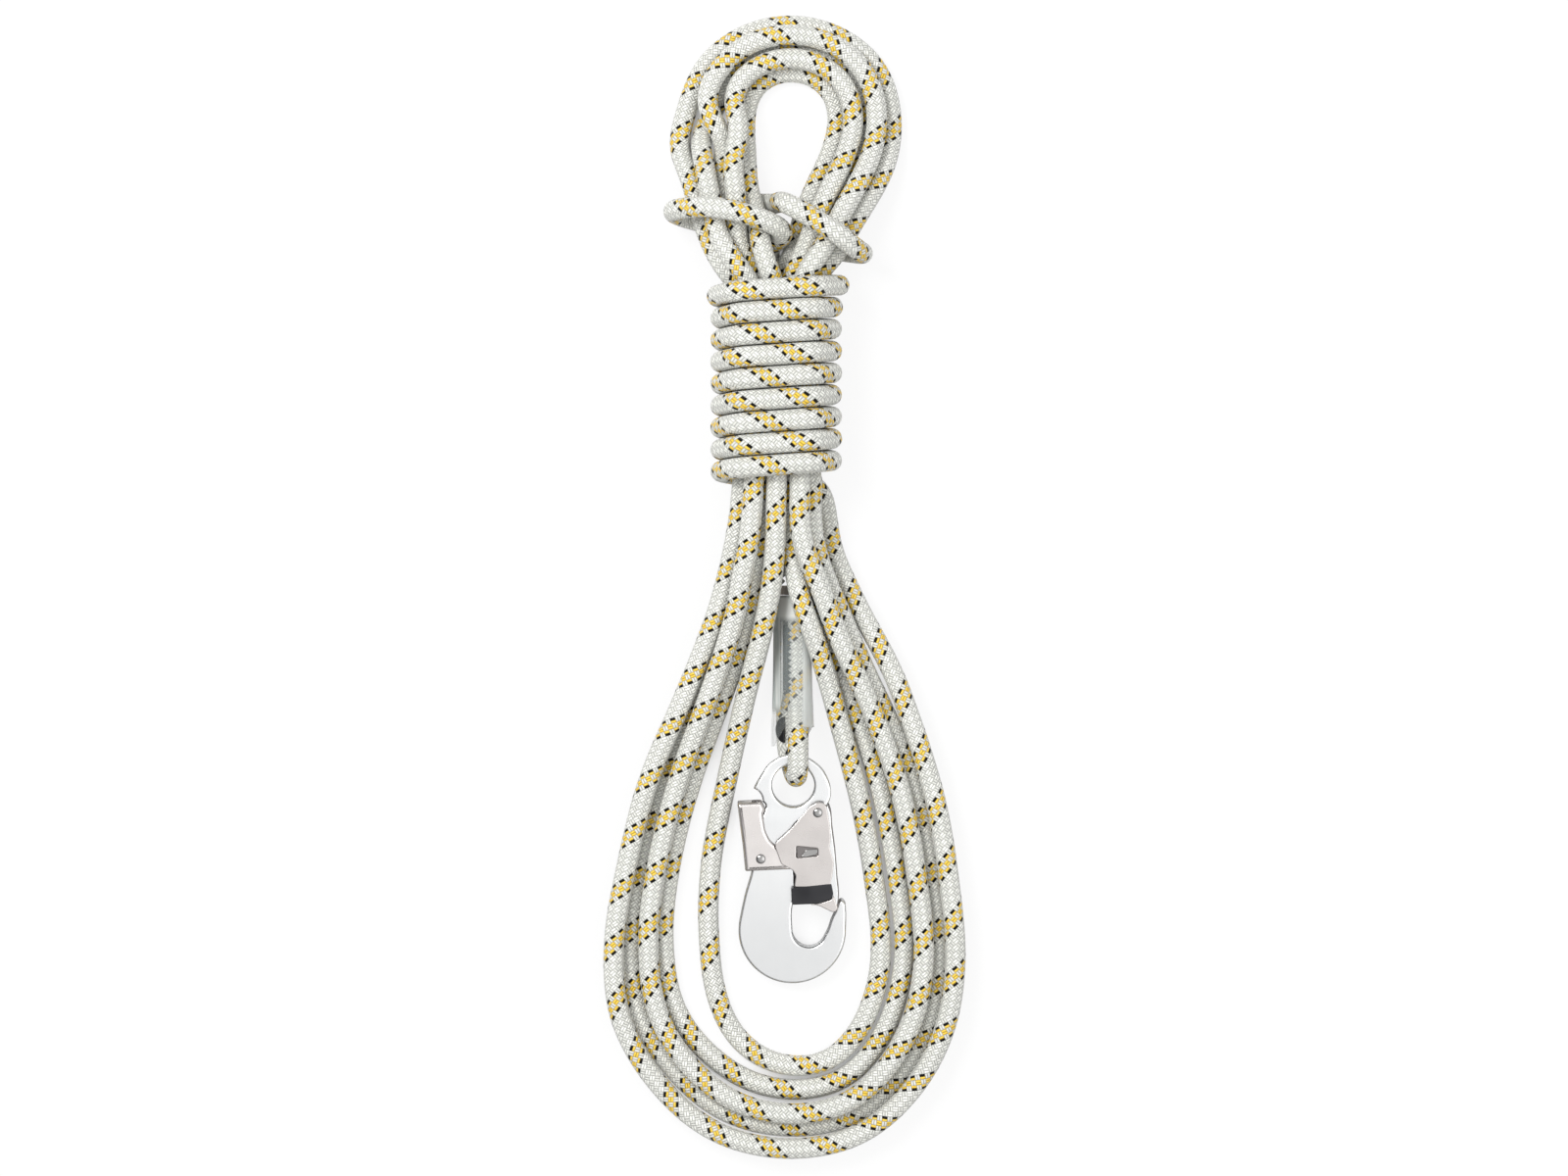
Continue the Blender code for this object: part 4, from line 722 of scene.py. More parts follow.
def stretch(route, start, end):
    """The part of a route between two distances along it."""
    t = along(route)
    s = np.concatenate([[start], t[(t > start) & (t < end)], [end]])
    return np.stack([np.interp(s, t, route[:, k]) for k in range(3)], axis=1)


def swing_axis():
    """Where the hook turns in the eye: the middle of the ring's bar, as Y and Z."""
    return RING_Y + BAR_MIDDLE_R * math.cos(math.radians(HOOK_TILT_DEG)), BACK_LEG_Z + TURN_RADIUS_Z


def leg_centres(y):
    """Middle of the front and back legs of the eye at a distance down the sleeve, as X and Z."""
    route = eye_route()
    half = int(np.argmin(route[:, 1]))
    centres = []
    for leg in (route[: half + 1], route[half:]):
        down = leg[np.argsort(-leg[:, 1])]
        centres.append(np.array([np.interp(-y, -down[:, 1], down[:, k]) for k in (0, 2)]))
    return centres


def belt(front, back, radius):
    """A belt round two circles: its points start beside the front one and go round."""
    lean = math.atan2(*(front - back)[::-1])
    points = []
    for centre, start in ((front, lean - math.pi / 2), (back, lean + math.pi / 2)):
        angles = start + np.linspace(0, math.pi, SLEEVE_ARC_STEPS + 1)
        points += [centre + radius * np.array([math.cos(a), math.sin(a)]) for a in angles]
    return points


def sleeve_ring(share, wall):
    """One ring of the sleeve, lower on its back leg than on its front one, and wider near the end."""
    radius = ROPE_D / 2 + SLEEVE_CLEARANCE + SLEEVE_BULGE * share**3 + wall
    front_y = SLEEVE_TOP_Y + share * (SLEEVE_FRONT_END_Y - SLEEVE_TOP_Y)
    back_y = SLEEVE_TOP_Y + share * (SLEEVE_BACK_END_Y - SLEEVE_TOP_Y)
    front, _ = leg_centres(front_y)
    _, back = leg_centres(back_y)
    back[1] = max(back[1], radius - wall + SLEEVE_WALL)
    ys = [front_y] * (SLEEVE_ARC_STEPS + 1) + [back_y] * (SLEEVE_ARC_STEPS + 1)
    return [(p[0], y, p[1]) for p, y in zip(belt(front, back, radius), ys)]


def seam(y, across, lift):
    """A point lifted off the legs: across the flat from one to the other, then round the front one."""
    front, back = leg_centres(y)
    half = np.linalg.norm(front - back) / 2
    toward = (front - back) / (2 * half)
    outward = np.array([-toward[1], toward[0]])
    radius = ROPE_D / 2 + lift
    turn = max(across - half, 0) / radius
    flat = (front + back) / 2 + toward * min(across, half)
    x, z = flat + radius * (outward * math.cos(turn) + toward * math.sin(turn))
    return (x, y, z)


# Node materials

class Nodes:
    """The node tree of a new material or world, with short ways to add nodes."""

    def __init__(self, owner):
        owner.use_nodes = True
        self.owner, self.tree = owner, owner.node_tree
        self.shader = self.tree.nodes.get("Principled BSDF")

    def link(self, value, socket):
        """Set a socket from a number, a colour or another node's output."""
        if isinstance(value, bpy.types.NodeSocket):
            self.tree.links.new(value, socket)
        else:
            socket.default_value = value

    def add(self, kind, *values, **settings):
        """A new node with its settings, and its inputs given in order."""
        node = self.tree.nodes.new("ShaderNode" + kind)
        for name, value in settings.items():
            setattr(node, name, value)
        for value, socket in zip(values, node.inputs):
            self.link(value, socket)
        return node

    def math(self, operation, *values, clamp=False):
        """A Math node's result."""
        return self.add("Math", *values, operation=operation, use_clamp=clamp).outputs[0]

    def product(self, *values):
        """The product of numbers."""
        whole = values[0]
        for value in values[1:]:
            whole = self.math("MULTIPLY", whole, value)
        return whole

    def blend(self, factor, a, b, kind="FLOAT", mode="MIX", first=2, result=0):
        """A number between two numbers, or what the other sockets of the Mix node blend."""
        node = self.add("Mix", factor, data_type=kind, blend_type=mode)
        self.link(a, node.inputs[first])
        self.link(b, node.inputs[first + 1])
        return node.outputs[result]

    def mix(self, factor, a, b, mode="MIX"):
        """A colour between two colours."""
        return self.blend(factor, a, b, "RGBA", mode, 6, 2)

    def times(self, colour, shade):
        """A colour darkened by a number."""
        return self.mix(1.0, colour, shade, "MULTIPLY")

    def arch(self, share, power):
        """A rounded rise: one in the middle of a share from 0 to 1, and nothing at its ends."""
        side = self.math("ABSOLUTE", self.math("MULTIPLY_ADD", share, 2.0, -1.0))
        return self.math("SUBTRACT", 1.0, self.math("POWER", side, power))

    def ramp(self, value, start, end, low=0.0, high=1.0):
        """A number that goes smoothly from low to high while a value goes from start to end."""
        node = self.add("MapRange", value, start, end, low, high, interpolation_type="SMOOTHSTEP")
        return node.outputs[0]

    def place(self, output="Object"):
        """A texture coordinate of the piece."""
        return self.add("TexCoord").outputs[output]

    def split(self, vector):
        """The three numbers of a vector."""
        return self.add("SeparateXYZ", vector).outputs

    def noise(self, vector, scale, detail=3.0, roughness=0.5, stretch=(1.0, 1.0, 1.0)):
        """A noise value from 0 to 1, on a coordinate that may be stretched along its axes."""
        if stretch != (1.0, 1.0, 1.0):
            scaled = self.add("Mapping", vector)
            scaled.inputs["Scale"].default_value = stretch
            vector = scaled.outputs[0]
        node = self.add("TexNoise", vector)
        for name, value in (("Scale", scale), ("Detail", detail), ("Roughness", roughness)):
            node.inputs[name].default_value = value
        return node.outputs["Fac"]

    def bump(self, height, distance, strength=1.0):
        """Raise the surface by a height from 0 to 1."""
        node = self.add("Bump", strength, distance)
        self.link(height, node.inputs["Height"])
        self.link(node.outputs[0], self.shader.inputs["Normal"])

    def finish(self, **sockets):
        """Set the shader's sockets by name, an underscore standing for a space."""
        for name, value in sockets.items():
            self.link(value, self.shader.inputs[name.replace("_", " ")])
        return self.owner


def painted(name):
    """The nodes of a new material."""
    return Nodes(bpy.data.materials.new(name))


def rgb(red, green, blue):
    """A colour from its 0 to 255 screen values, as linear light."""
    def linear(value):
        share = value / 255
        return share / 12.92 if share <= 0.04045 else ((share + 0.055) / 1.055) ** 2.4
    return (linear(red), linear(green), linear(blue), 1.0)


def braid_material():
    """White nylon sheath of double yarns, one carrier over one, with the tracer's band.

    The UV map holds turns of the carriers along the rope and the turn round it. Right-hand carriers
    are where round minus along is constant, left-hand ones where their sum is. Six yarns of three
    neighbouring right-hand carriers are coloured: black, four times yellow, black."""
    n = painted("braided_sheath")
    turns, around, _ = n.split(n.place("UV"))
    right = n.product(n.math("SUBTRACT", around, turns), float(CARRIERS))
    left = n.product(n.math("ADD", around, turns), float(CARRIERS))
    parity = n.math("ADD", n.math("FLOOR", right), n.math("FLOOR", left))
    over = n.math("LESS_THAN", n.math("FLOORED_MODULO", parity, 2.0), 0.5)
    right_share, left_share = n.math("FRACT", right), n.math("FRACT", left)
    across = n.product(n.blend(over, left_share, right_share), 2.0)
    crown = n.arch(n.math("FRACT", across), YARN_POWERS[0])
    rise = n.arch(n.blend(over, right_share, left_share), YARN_POWERS[1])
    height = n.product(crown, n.math("MULTIPLY_ADD", rise, YARN_SAG, 1 - YARN_SAG))
    n.bump(height, YARN_RISE)

    yarn = n.math("FLOORED_MODULO", n.math("FLOOR", n.product(right, 2.0)), 2.0 * CARRIERS)
    middle = TRACER_LAST / 2
    yellow = n.product(over, n.math("COMPARE", yarn, middle, middle - 0.5))
    first, last = (n.math("COMPARE", yarn, float(place), 0.5) for place in (0, TRACER_LAST))
    black = n.product(over, n.math("MAXIMUM", first, last))
    white, gold = (n.mix(n.noise(n.place(), scale, detail), rgb(*low), rgb(*high))
                   for low, high, scale, detail in (WHITE_YARN, GOLD_YARN))
    colour = n.mix(black, n.mix(yellow, white, gold), rgb(*TRACER_BLACK))
    fleck = n.noise(n.place("UV"), FLECK_SCALE, 2.0)
    # Painted shade: each yarn darkens toward its edges and the left-hand yarns are darker; the flecks
    # are the sheath's own uneven tone
    shade = n.product(
        n.blend(n.math("POWER", height, YARN_SHADE_POWER, clamp=True), *YARN_SHADE),
        n.math("MULTIPLY_ADD", fleck, FLECK_DEPTH, 1 - FLECK_DEPTH / 2),
        n.blend(over, LEFT_YARN_PAINTED_SHADE, 1.0))
    return n.finish(Base_Color=n.times(colour, shade), Roughness=SHEATH_ROUGHNESS,
                    Sheen_Weight=SHEATH_SHEEN, Specular_IOR_Level=n.blend(black, *SHEATH_SPECULAR))


def metal_material(name):
    """Plated steel: fine grain drawn out one way, and slow changes of tone, with painted shade darker
    low on the hook.
    """
    light, dark, roughness, grain, stretch, low = METALS[name]
    n = painted(name)
    place = n.place()
    lines = n.noise(place, grain, 4.0, 0.6, stretch)
    tone = n.mix(n.noise(place, CLOUD_SCALE, 2.0), (*dark, 1), (*light, 1))
    # Painted shade: the tone darkens toward the bottom of the hook
    if low < 1.0:
        tone = n.times(tone, n.ramp(n.split(place)[1], PAINTED_SHADE_FULL_Y, PAINTED_SHADE_START_Y, low, 1.0))
    n.bump(lines, GRAIN_RISE, 0.35)
    rough = n.math("MULTIPLY_ADD", lines, GRAIN_ROUGHNESS, roughness - GRAIN_ROUGHNESS / 2)
    return n.finish(Base_Color=tone, Roughness=rough, Metallic=1.0)


def plastic_material(name):
    """Moulded or melted plastic with a faintly uneven surface."""
    first, second, roughness, scale = PLASTICS[name]
    n = painted(name)
    grain = n.noise(n.place(), scale)
    n.bump(grain, MOULD_RISE, 0.5)
    return n.finish(Base_Color=n.mix(grain, rgb(*first), rgb(*second)), Roughness=roughness)


def thread_material():
    """White sewing thread, twisted."""
    n = painted("sewing_thread")
    turns, around, _ = n.split(n.place("UV"))
    lengthwise, roundabout = THREAD_TWISTS
    twist = n.math("FRACT", n.math("MULTIPLY_ADD", turns, lengthwise, n.product(around, roundabout)))
    n.bump(n.math("PINGPONG", twist, 0.5), THREAD_RISE, 0.8)
    low, high = THREAD_TONES
    return n.finish(Base_Color=n.mix(twist, rgb(*low), rgb(*high)), Roughness=THREAD_ROUGHNESS)


def sleeve_material():
    """Clear flexible tube: nearly invisible face on, and milky where it turns away.

    It is also milky along its right flank, and made milky, light and more hiding on the left leg and at
    its top as painted light over the shade of the strands beside it; darker streaks on the left leg are
    folds with painted shade."""
    n = painted("clear_tube")
    place = n.place()
    x, y, _ = n.split(place)
    edge = n.math("POWER", n.add("LayerWeight", 0.5).outputs["Facing"], EDGE_POWER)
    haze = n.noise(place, HAZE_SCALE, stretch=HAZE_STRETCH)
    streaks = n.noise(place, STREAK_SCALE, 1.0, stretch=STREAK_STRETCH)
    # Painted light: the left leg and the top are made milky and light over the shade of the strands
    # beside them
    left = n.product(n.ramp(x, MILKY_LEFT_X + MILKY_FADE, MILKY_LEFT_X),
                     n.ramp(y, MILKY_END_Y, MILKY_FULL_Y))
    top = n.ramp(y, MILKY_TOP_Y, MILKY_TOP_Y + MILKY_TOP_FADE)
    right = n.ramp(x, MILKY_RIGHT_X, MILKY_RIGHT_X + 2 * MILKY_FADE)
    milky_and_painted_light = n.math("MAXIMUM", n.math("MAXIMUM", left, top), n.product(right, MILKY_RIGHT_SHARE))
    clear = n.math("MULTIPLY_ADD", haze, HAZE_HIDES, CLEAR_HIDES)
    alpha = n.product(n.math("MULTIPLY_ADD", edge, EDGE_HIDES, clear, clamp=True),
                      n.ramp(y, MILKY_END_Y, MILKY_FULL_Y, END_SHARE, 1.0))
    tone = n.mix(milky_and_painted_light, rgb(*CLEAR_TONE), rgb(*MILKY_PAINTED_LIGHT_TONE))
    # Folds and painted shade: darker streaks on the left leg
    tone = n.mix(n.product(n.ramp(streaks, *STREAK_RAMP), left), tone, rgb(*FOLD_AND_PAINTED_SHADE_TONE))
    n.bump(haze, HAZE_RISE, 0.3)
    n.owner.surface_render_method = "BLENDED"
    return n.finish(Base_Color=tone, Alpha=n.blend(milky_and_painted_light, alpha, MILKY_HIDES),
                    Roughness=SLEEVE_ROUGHNESS, Specular_IOR_Level=SLEEVE_SPECULAR)


# Meshes

def linked(name, data):
    """A new object in the scene, of a mesh or other data."""
    obj = bpy.data.objects.new(name, data)
    bpy.context.scene.collection.objects.link(obj)
    return obj


def mesh_object(name, vertices, faces, material, uv=None):
    """A smooth-shaded object at the origin from vertices and faces, with a UV per face corner."""
    mesh = bpy.data.meshes.new(name)
    mesh.from_pydata(np.asarray(vertices, float).tolist(), [], faces)
    if uv is not None:
        mesh.uv_layers.new(name="UVMap").data.foreach_set("uv", np.asarray(uv, "f").ravel())
    mesh.materials.append(material)
    mesh.shade_smooth()
    return linked(name, mesh)


def grid_faces(rows, columns, close_rows=False, close_columns=True, flip=False):
    """The quads of a grid of points, joined up from its last row or column to its first if closed."""
    here = np.arange(rows * columns).reshape(rows, columns)
    below = np.roll(here, -1, 0)
    quads = np.stack([here, np.roll(here, -1, 1), np.roll(below, -1, 1), below], axis=2)
    quads = quads[: rows - (not close_rows), : columns - (not close_columns)].reshape(-1, 4)
    return (quads[:, [0, 3, 2, 1]] if flip else quads).tolist()


def transported(path):
    """Two directions square to a path that don't twist about it, at each of its points."""
    tangent = np.gradient(path, axis=0)
    tangent /= np.linalg.norm(tangent, axis=1)[:, None]
    side = np.cross(tangent[0], (0.0, 0.0, 1.0))
    sides = np.empty_like(path)
    for k, t in enumerate(tangent):
        side = side - t * (side @ t)
        side = side / np.linalg.norm(side)
        sides[k] = side
    return sides, np.cross(tangent, sides)


def swept(name, path, radius, sides, material, floor=True, drift=0.0):
    """A round tube: ring centre plus radius times (cos a, sin a) on the untwisted directions.

    Its UV is the distance along in carrier pitches and the turn round it."""
    across, up = transported(path)
    angle = 2 * math.pi * np.arange(sides) / sides
    ring = np.einsum("a,pk->pak", np.cos(angle), across) + np.einsum("a,pk->pak", np.sin(angle), up)
    grid = path[:, None, :] + radius * ring
    if floor:
        grid[:, :, 2] = np.maximum(grid[:, :, 2], FLOOR_LIFT)
    count, rim = len(path), np.arange(sides)
    u, v = along(path) / BRAID_PITCH + drift, np.arange(sides + 1) / sides
    k, m = np.divmod(np.arange((count - 1) * sides), sides)
    corners = ((k, m), (k, m + 1), (k + 1, m + 1), (k + 1, m))
    uv = np.stack([np.stack([u[a], v[b]], 1) for a, b in corners], axis=1)
    low = count * sides
    start = np.stack([rim, np.full(sides, low), (rim + 1) % sides], axis=1)
    end = np.stack([(rim + 1) % sides + low - sides, np.full(sides, low + 1), rim + low - sides], axis=1)
    cap = np.zeros((sides * 6, 2))
    cap[:, 0] = np.repeat([u[0], u[-1]], sides * 3)
    return mesh_object(name, np.concatenate([grid.reshape(-1, 3), path[:1], path[-1:]]),
                       grid_faces(count, sides) + start.tolist() + end.tolist(), material,
                       np.concatenate([uv.reshape(-1, 2), cap]))


def lathe(name, profile, steps, material, place):
    """A turned piece: radius and height carried round the axis, then put in its place."""
    r, z = np.array(profile).T
    angle = 2 * math.pi * np.arange(steps) / steps
    x, y = np.cos(angle)[None, :] * r[:, None], np.sin(angle)[None, :] * r[:, None]
    grid = np.stack([x, y, np.repeat(z[:, None], steps, 1)], axis=2).reshape(-1, 3)
    obj = weld(mesh_object(name, grid, grid_faces(len(profile), steps, flip=True), material))
    obj.data.transform(place)
    return obj


def sheet(name, grid, thickness, material):
    """A thin sheet through a grid of points."""
    faces = grid_faces(*grid.shape[:2], close_columns=False, flip=True)
    obj = mesh_object(name, grid.reshape(-1, 3), faces, material)
    wall = obj.modifiers.new("Thickness", "SOLIDIFY")
    wall.thickness, wall.offset = thickness, 0.0
    return obj


def weld(obj):
    """Merge doubled points with a Weld modifier."""
    obj.modifiers.new("Weld", "WELD").merge_threshold = WELD_REACH
    return obj


def evaluated_mesh(obj):
    """A new mesh of an object as its modifiers or its curve shape it."""
    graph = bpy.context.evaluated_depsgraph_get()
    return bpy.data.meshes.new_from_object(obj.evaluated_get(graph))


def applied(obj):
    """Turn an object's modifiers into its mesh."""
    mesh = evaluated_mesh(obj)
    obj.modifiers.clear()
    obj.data = mesh
    return obj


def cut(obj, tool):
    """Cut an object with another, which is then removed."""
    modifier = obj.modifiers.new("Cut", "BOOLEAN")
    modifier.operation, modifier.object = "DIFFERENCE", tool
    applied(obj)
    bpy.data.objects.remove(tool)
    return obj


def crisp(obj):
    """Smooth shading that leaves flat faces flat."""
    obj.data.shade_smooth()
    obj.data.set_sharp_from_angle(angle=math.radians(SHARP_DEG))
    modifier = obj.modifiers.new("Flat faces", "WEIGHTED_NORMAL")
    modifier.keep_sharp, modifier.weight = True, 80
    return obj


def dress(obj, body, nodes, slot):
    """Let a piece ride on its body and stand for its solids; its slot is not used."""
    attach(obj, body)
    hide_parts(*nodes)


# Hook

def through(points):
    """A smooth line through points in a plane, sampled evenly."""
    flat = np.column_stack([np.asarray(points, float), np.zeros(len(points))])
    return [(p[0], p[1]) for p in smooth_route(flat, SPLINE_STEP)]


def arc(centre_x, centre_y, radius, ends_deg, steps=FINE_ARC):
    """Points on an arc, from one angle to another."""
    angles = np.radians(np.linspace(*ends_deg, steps + 1))
    return [(centre_x + radius * math.cos(a), centre_y + radius * math.sin(a)) for a in angles]


def circle(x, y, radius):
    """A round outline about a point."""
    return arc(x, y, radius, (360, 0), 2 * FINE_ARC)[:-1]


def of_hook(shares):
    """An outline from its shares of the hook's length."""
    return [(x * HOOK_LENGTH, y * HOOK_LENGTH) for x, y in shares]


def hook_arc(shares, ends_deg, steps=FINE_ARC):
    """An arc whose middle and radius are shares of the hook's length."""
    return arc(*(share * HOOK_LENGTH for share in shares), ends_deg, steps)


def rounded(outline, reach=CORNER_ROUND):
    """An outline with its corners eased: each corner becomes a short curve between its two sides."""
    points = np.asarray(outline, float)
    eased = []
    for before, here, after in zip(np.roll(points, 1, 0), points, np.roll(points, -1, 0)):
        start = here + (before - here) * min(CORNER_LIMIT, reach / np.linalg.norm(before - here))
        end = here + (after - here) * min(CORNER_LIMIT, reach / np.linalg.norm(after - here))
        for t in np.linspace(0, 1, CORNER_STEPS):
            p = (1 - t) ** 2 * start + 2 * t * (1 - t) * here + t * t * end
            eased.append((p[0], p[1]))
    return eased


def body_outline():
    """The forged body's outline: ring, flare, boss, throat, nose, belly, spine, bite and beak."""
    ring = arc(0, 0, RING_OUTER_R, FULL_RING_DEG, 2 * FINE_ARC)
    boss = hook_arc(BOSS_SHARES, BOSS_ARC_DEG)
    throat = hook_arc(THROAT_SHARES, THROAT_ARC_DEG)
    belly = hook_arc(BELLY_SHARES, BELLY_ENDS_DEG, 2 * FINE_ARC)
    beak = of_hook(BEAK_SHARES)
    runs = (
        ring,
        through([ring[-1], *of_hook(FLARE_SHARES)])[1:],
        boss,
        through([boss[-1], *of_hook(UPPER_THROAT_SHARES), throat[0]])[1:-1],
        throat,
        through([throat[-1], *of_hook(NOSE_SHARES), belly[0]])[1:-1],
        belly,
        through([belly[-1], *of_hook(SPINE_SHARES)])[1:],
        through([*of_hook(BITE_SHARES), beak[0]])[1:],
        through([*beak, ring[0]])[1:-1],
    )
    return [point for run in runs for point in run]


def gate_window():
    """The lanced slot in the gate's side plates."""
    tall, low = WINDOW_TALL_END / 2, WINDOW_LOW_END / 2
    (left, middle), = of_hook([WINDOW_SHARES])
    middle += WINDOW_RISE
    right = left + WINDOW_LENGTH + WINDOW_REACH
    return [(left, middle + tall), (right, middle + low), (right, middle - low), (left, middle - tall)]


def window_surround():
    """A box round the slot, which hollows the louver behind it."""
    (left, middle), = of_hook([WINDOW_SHARES])
    near, far = left - WINDOW_LENGTH, left + 2 * WINDOW_LENGTH
    low, high = middle - WINDOW_LENGTH, middle + WINDOW_LENGTH
    return [(near, low), (far, low), (far, high), (near, high)]


def rivet_profile(outer):
    """Radius and height of a rivet with a domed head at each end, from top to bottom."""
    seat = outer + PLATE_GAP / 2
    angles = np.linspace(0, math.pi / 2, DOME_STEPS + 1)
    half = [(PIN_HEAD_R * math.sin(a), seat + PIN_HEAD_H * math.cos(a)) for a in angles]
    half.append((PIN_R, seat))
    return half + [(r, -z) for r, z in half[::-1]]


def flat_piece(name, outlines, half_thickness, edge, material=None):
    """A plate with rounded edges from flat outlines, the later ones holes."""
    data = bpy.data.curves.new(name, "CURVE")
    data.dimensions, data.fill_mode = "2D", "BOTH"
    data.extrude, data.offset = half_thickness - edge, -edge
    data.bevel_depth, data.bevel_resolution = edge, EDGE_ROUNDS
    for outline in outlines:
        spline = data.splines.new("POLY")
        spline.points.add(len(outline) - 1)
        for target, point in zip(spline.points, outline):
            target.co = (point[0], point[1], 0, 1)
        spline.use_cyclic_u = True
    holder = linked(name + "_outline", data)
    mesh = evaluated_mesh(holder)
    bpy.data.objects.remove(holder)
    mesh.name = name
    mesh.materials.clear()
    if material:
        mesh.materials.append(material)
    return applied(weld(linked(name, mesh)))


def hollowed(piece, outline, half_thickness):
    """A folded channel: a plate hollowed between its two sheets."""
    return cut(piece, flat_piece(piece.name + "_inside", [outline], half_thickness, 0))


def thinned(obj, low, high, share):
    """Thin a plate smoothly from its full thickness at low to a share of it at high, along Y."""
    work = bmesh.new()
    work.from_mesh(obj.data)
    for y in np.linspace(low, high, THINNING_CUTS):
        parts = work.verts[:] + work.edges[:] + work.faces[:]
        bmesh.ops.bisect_plane(work, geom=parts, plane_co=(0, y, 0), plane_no=(0, 1, 0))
    for vert in work.verts:
        t = min(max((vert.co.y - low) / (high - low), 0), 1)
        vert.co.z *= 1 + (share - 1) * t * t * (3 - 2 * t)
    work.to_mesh(obj.data)
    work.free()


def gate_pieces(steels, bore):
    """The gate's channel, the louver and tongue in its slot, the louver painted dark as shade, its shoe
    painted black as a dark reflection and its tail, and its spine strip with a sheet of painted shade
    under it.
    """
    window, surround = gate_window(), window_surround()
    outlines = [rounded(of_hook(GATE_SHARES)), bore, rounded(window, WINDOW_ROUND)]
    gate = flat_piece("gate_channel", outlines, GATE_OUTER, RIM_EDGE, steels["gate_sheet"])
    yield hollowed(gate, of_hook(GATE_CHANNEL_SHARES), GATE_INNER), "gate_shell"
    # The louver is painted dark as the shade inside the slot
    louver = flat_piece("gate_louver", [[(x + LOUVER_SHIFT, y) for x, y in window]],
                        GATE_OUTER - LOUVER_DEPTH, SHEET_EDGE, steels["painted_shade_steel"])
    yield hollowed(louver, surround, GATE_INNER - LOUVER_DEPTH), "gate_shell"
    # The shoe is painted black as the dark reflection on the gate's bent end
    for name, shares, steel in (("gate_shoe", SHOE_SHARES, "painted_reflection_shoe"),
                                ("gate_tail", TAIL_SHARES, "gate_sheet")):
        outline = rounded(of_hook(shares))
        tip = flat_piece(name, [outline], GATE_OUTER + SHOE_RISE, RIM_EDGE, steels[steel])
        yield hollowed(tip, of_hook(TIP_CHANNEL_SHARES), GATE_INNER), "gate_tip"
    outer, inner = through(of_hook(SPINE_OUTER_SHARES)), through(of_hook(SPINE_INNER_SHARES))[::-1]
    top = GATE_OUTER - SPINE_DROP
    spine = flat_piece("gate_spine", [outer + inner], top, SPINE_EDGE, steels["bright_steel"])
    yield spine, "gate_shell"
    # Painted shade: a dark sheet under the spine strip shows as a dark outline round it
    wide = [(x + SPINE_EDGE, y) for x, y in outer] + [(x - SPINE_EDGE, y) for x, y in inner]
    yield flat_piece("gate_spine_shade", [wide], top - SPINE_SHADE_DROP, 0, steels["painted_shade_steel"]), "gate_shell"
    tongue = flat_piece("gate_tongue", [rounded(of_hook(TONGUE_SHARES))], GATE_OUTER - TONGUE_DROP,
                        SHEET_EDGE, steels["polished_rivet"])
    yield hollowed(tongue, surround, GATE_INNER - LOUVER_DEPTH / 2), "gate_shell"


def hook_pieces(steels):
    """The snap hook's pieces, each put in its place in the lanyard's frame."""
    tilt = Matrix.Rotation(math.radians(HOOK_TILT_DEG), 4, "X")
    to_bar = Matrix.Translation((0, -BAR_MIDDLE_R, 0))
    place = Matrix.Translation((RING_X, *swing_axis())) @ tilt @ to_bar
    gate_pin, lever_pin = of_hook([GATE_PIN_SHARES, LEVER_PIN_SHARES])
    gate_bore, lever_bore = (circle(*pin, PIN_R + PIN_CLEARANCE) for pin in (gate_pin, lever_pin))
    outlines = [body_outline(), circle(0, 0, RING_HOLE_R), gate_bore, lever_bore]
    body = flat_piece("hook_forging", outlines, BODY_THICKNESS / 2, FORGED_EDGE, steels["bright_steel"])
    thinned(body, THIN_FROM, THIN_TO, RING_THICKNESS / BODY_THICKNESS)
    thinned(body, BAR_FROM, BAR_TO, BAR_SHARE)
    lever = flat_piece("palm_lever", [rounded(of_hook(LEVER_SHARES))], LEVER_OUTER, FOLD_EDGE,
                       steels["lever_sheet"])
    lever = cut(lever, flat_piece("lever_drill", [lever_bore], GATE_OUTER, 0))
    lever = hollowed(lever, of_hook(LEVER_HOLLOW_SHARES), LEVER_INNER)
    for piece, body_name, node, slot in (
        (body, "hook", "hook_body", "hook_steel"),
        (lever, "lever", "lock_lever", "lever_steel"),
        *((piece, "gate", node, GATE_SLOTS[node]) for piece, node in gate_pieces(steels, gate_bore)),
    ):
        piece.data.transform(place)
        dress(crisp(piece), body_name, (node,), slot)
    for name, node, outer, (x, y) in (("gate_rivet", "gate_pin", GATE_OUTER, gate_pin),
                                      ("lever_rivet", "lever_pin", LEVER_OUTER, lever_pin)):
        rivet = lathe(name, rivet_profile(outer), 2 * FINE_ARC, steels["polished_rivet"],
                      place @ Matrix.Translation((x, y, 0)))
        dress(rivet, "hook", (node,), "pin_steel")


# Rope, eye and what is on them

def rope_pieces(sheath):
    """The hank in one length from the sleeve to its free end, and the eye through the ring."""
    route = rope_route()
    start = along(route)[np.argmax(route[:, 1] > SLEEVE_TOP_Y)]
    path = smooth_route(stretch(route, start, along(route)[-1]), ROPE_RING_STEP)
    rope = swept("hank_rope", path, ROPE_D / 2, ROPE_SIDES, sheath)
    dress(rope, "rope", ("rope_loops", "neck_wraps", "lock_hitch"), "rope")
    float(along(path)[-1])
    eye_path = smooth_route(eye_route(), EYE_RING_STEP)
    low = np.clip((EYE_TWIST_Y - eye_path[:, 1]) / EYE_TWIST_REACH, 0, 1)
    eye = swept("eye_rope", eye_path, ROPE_D / 2, 2 * ROPE_SIDES, sheath, drift=EYE_TWIST * low)
    dress(eye, "rope", ("rope_eye",), "rope")


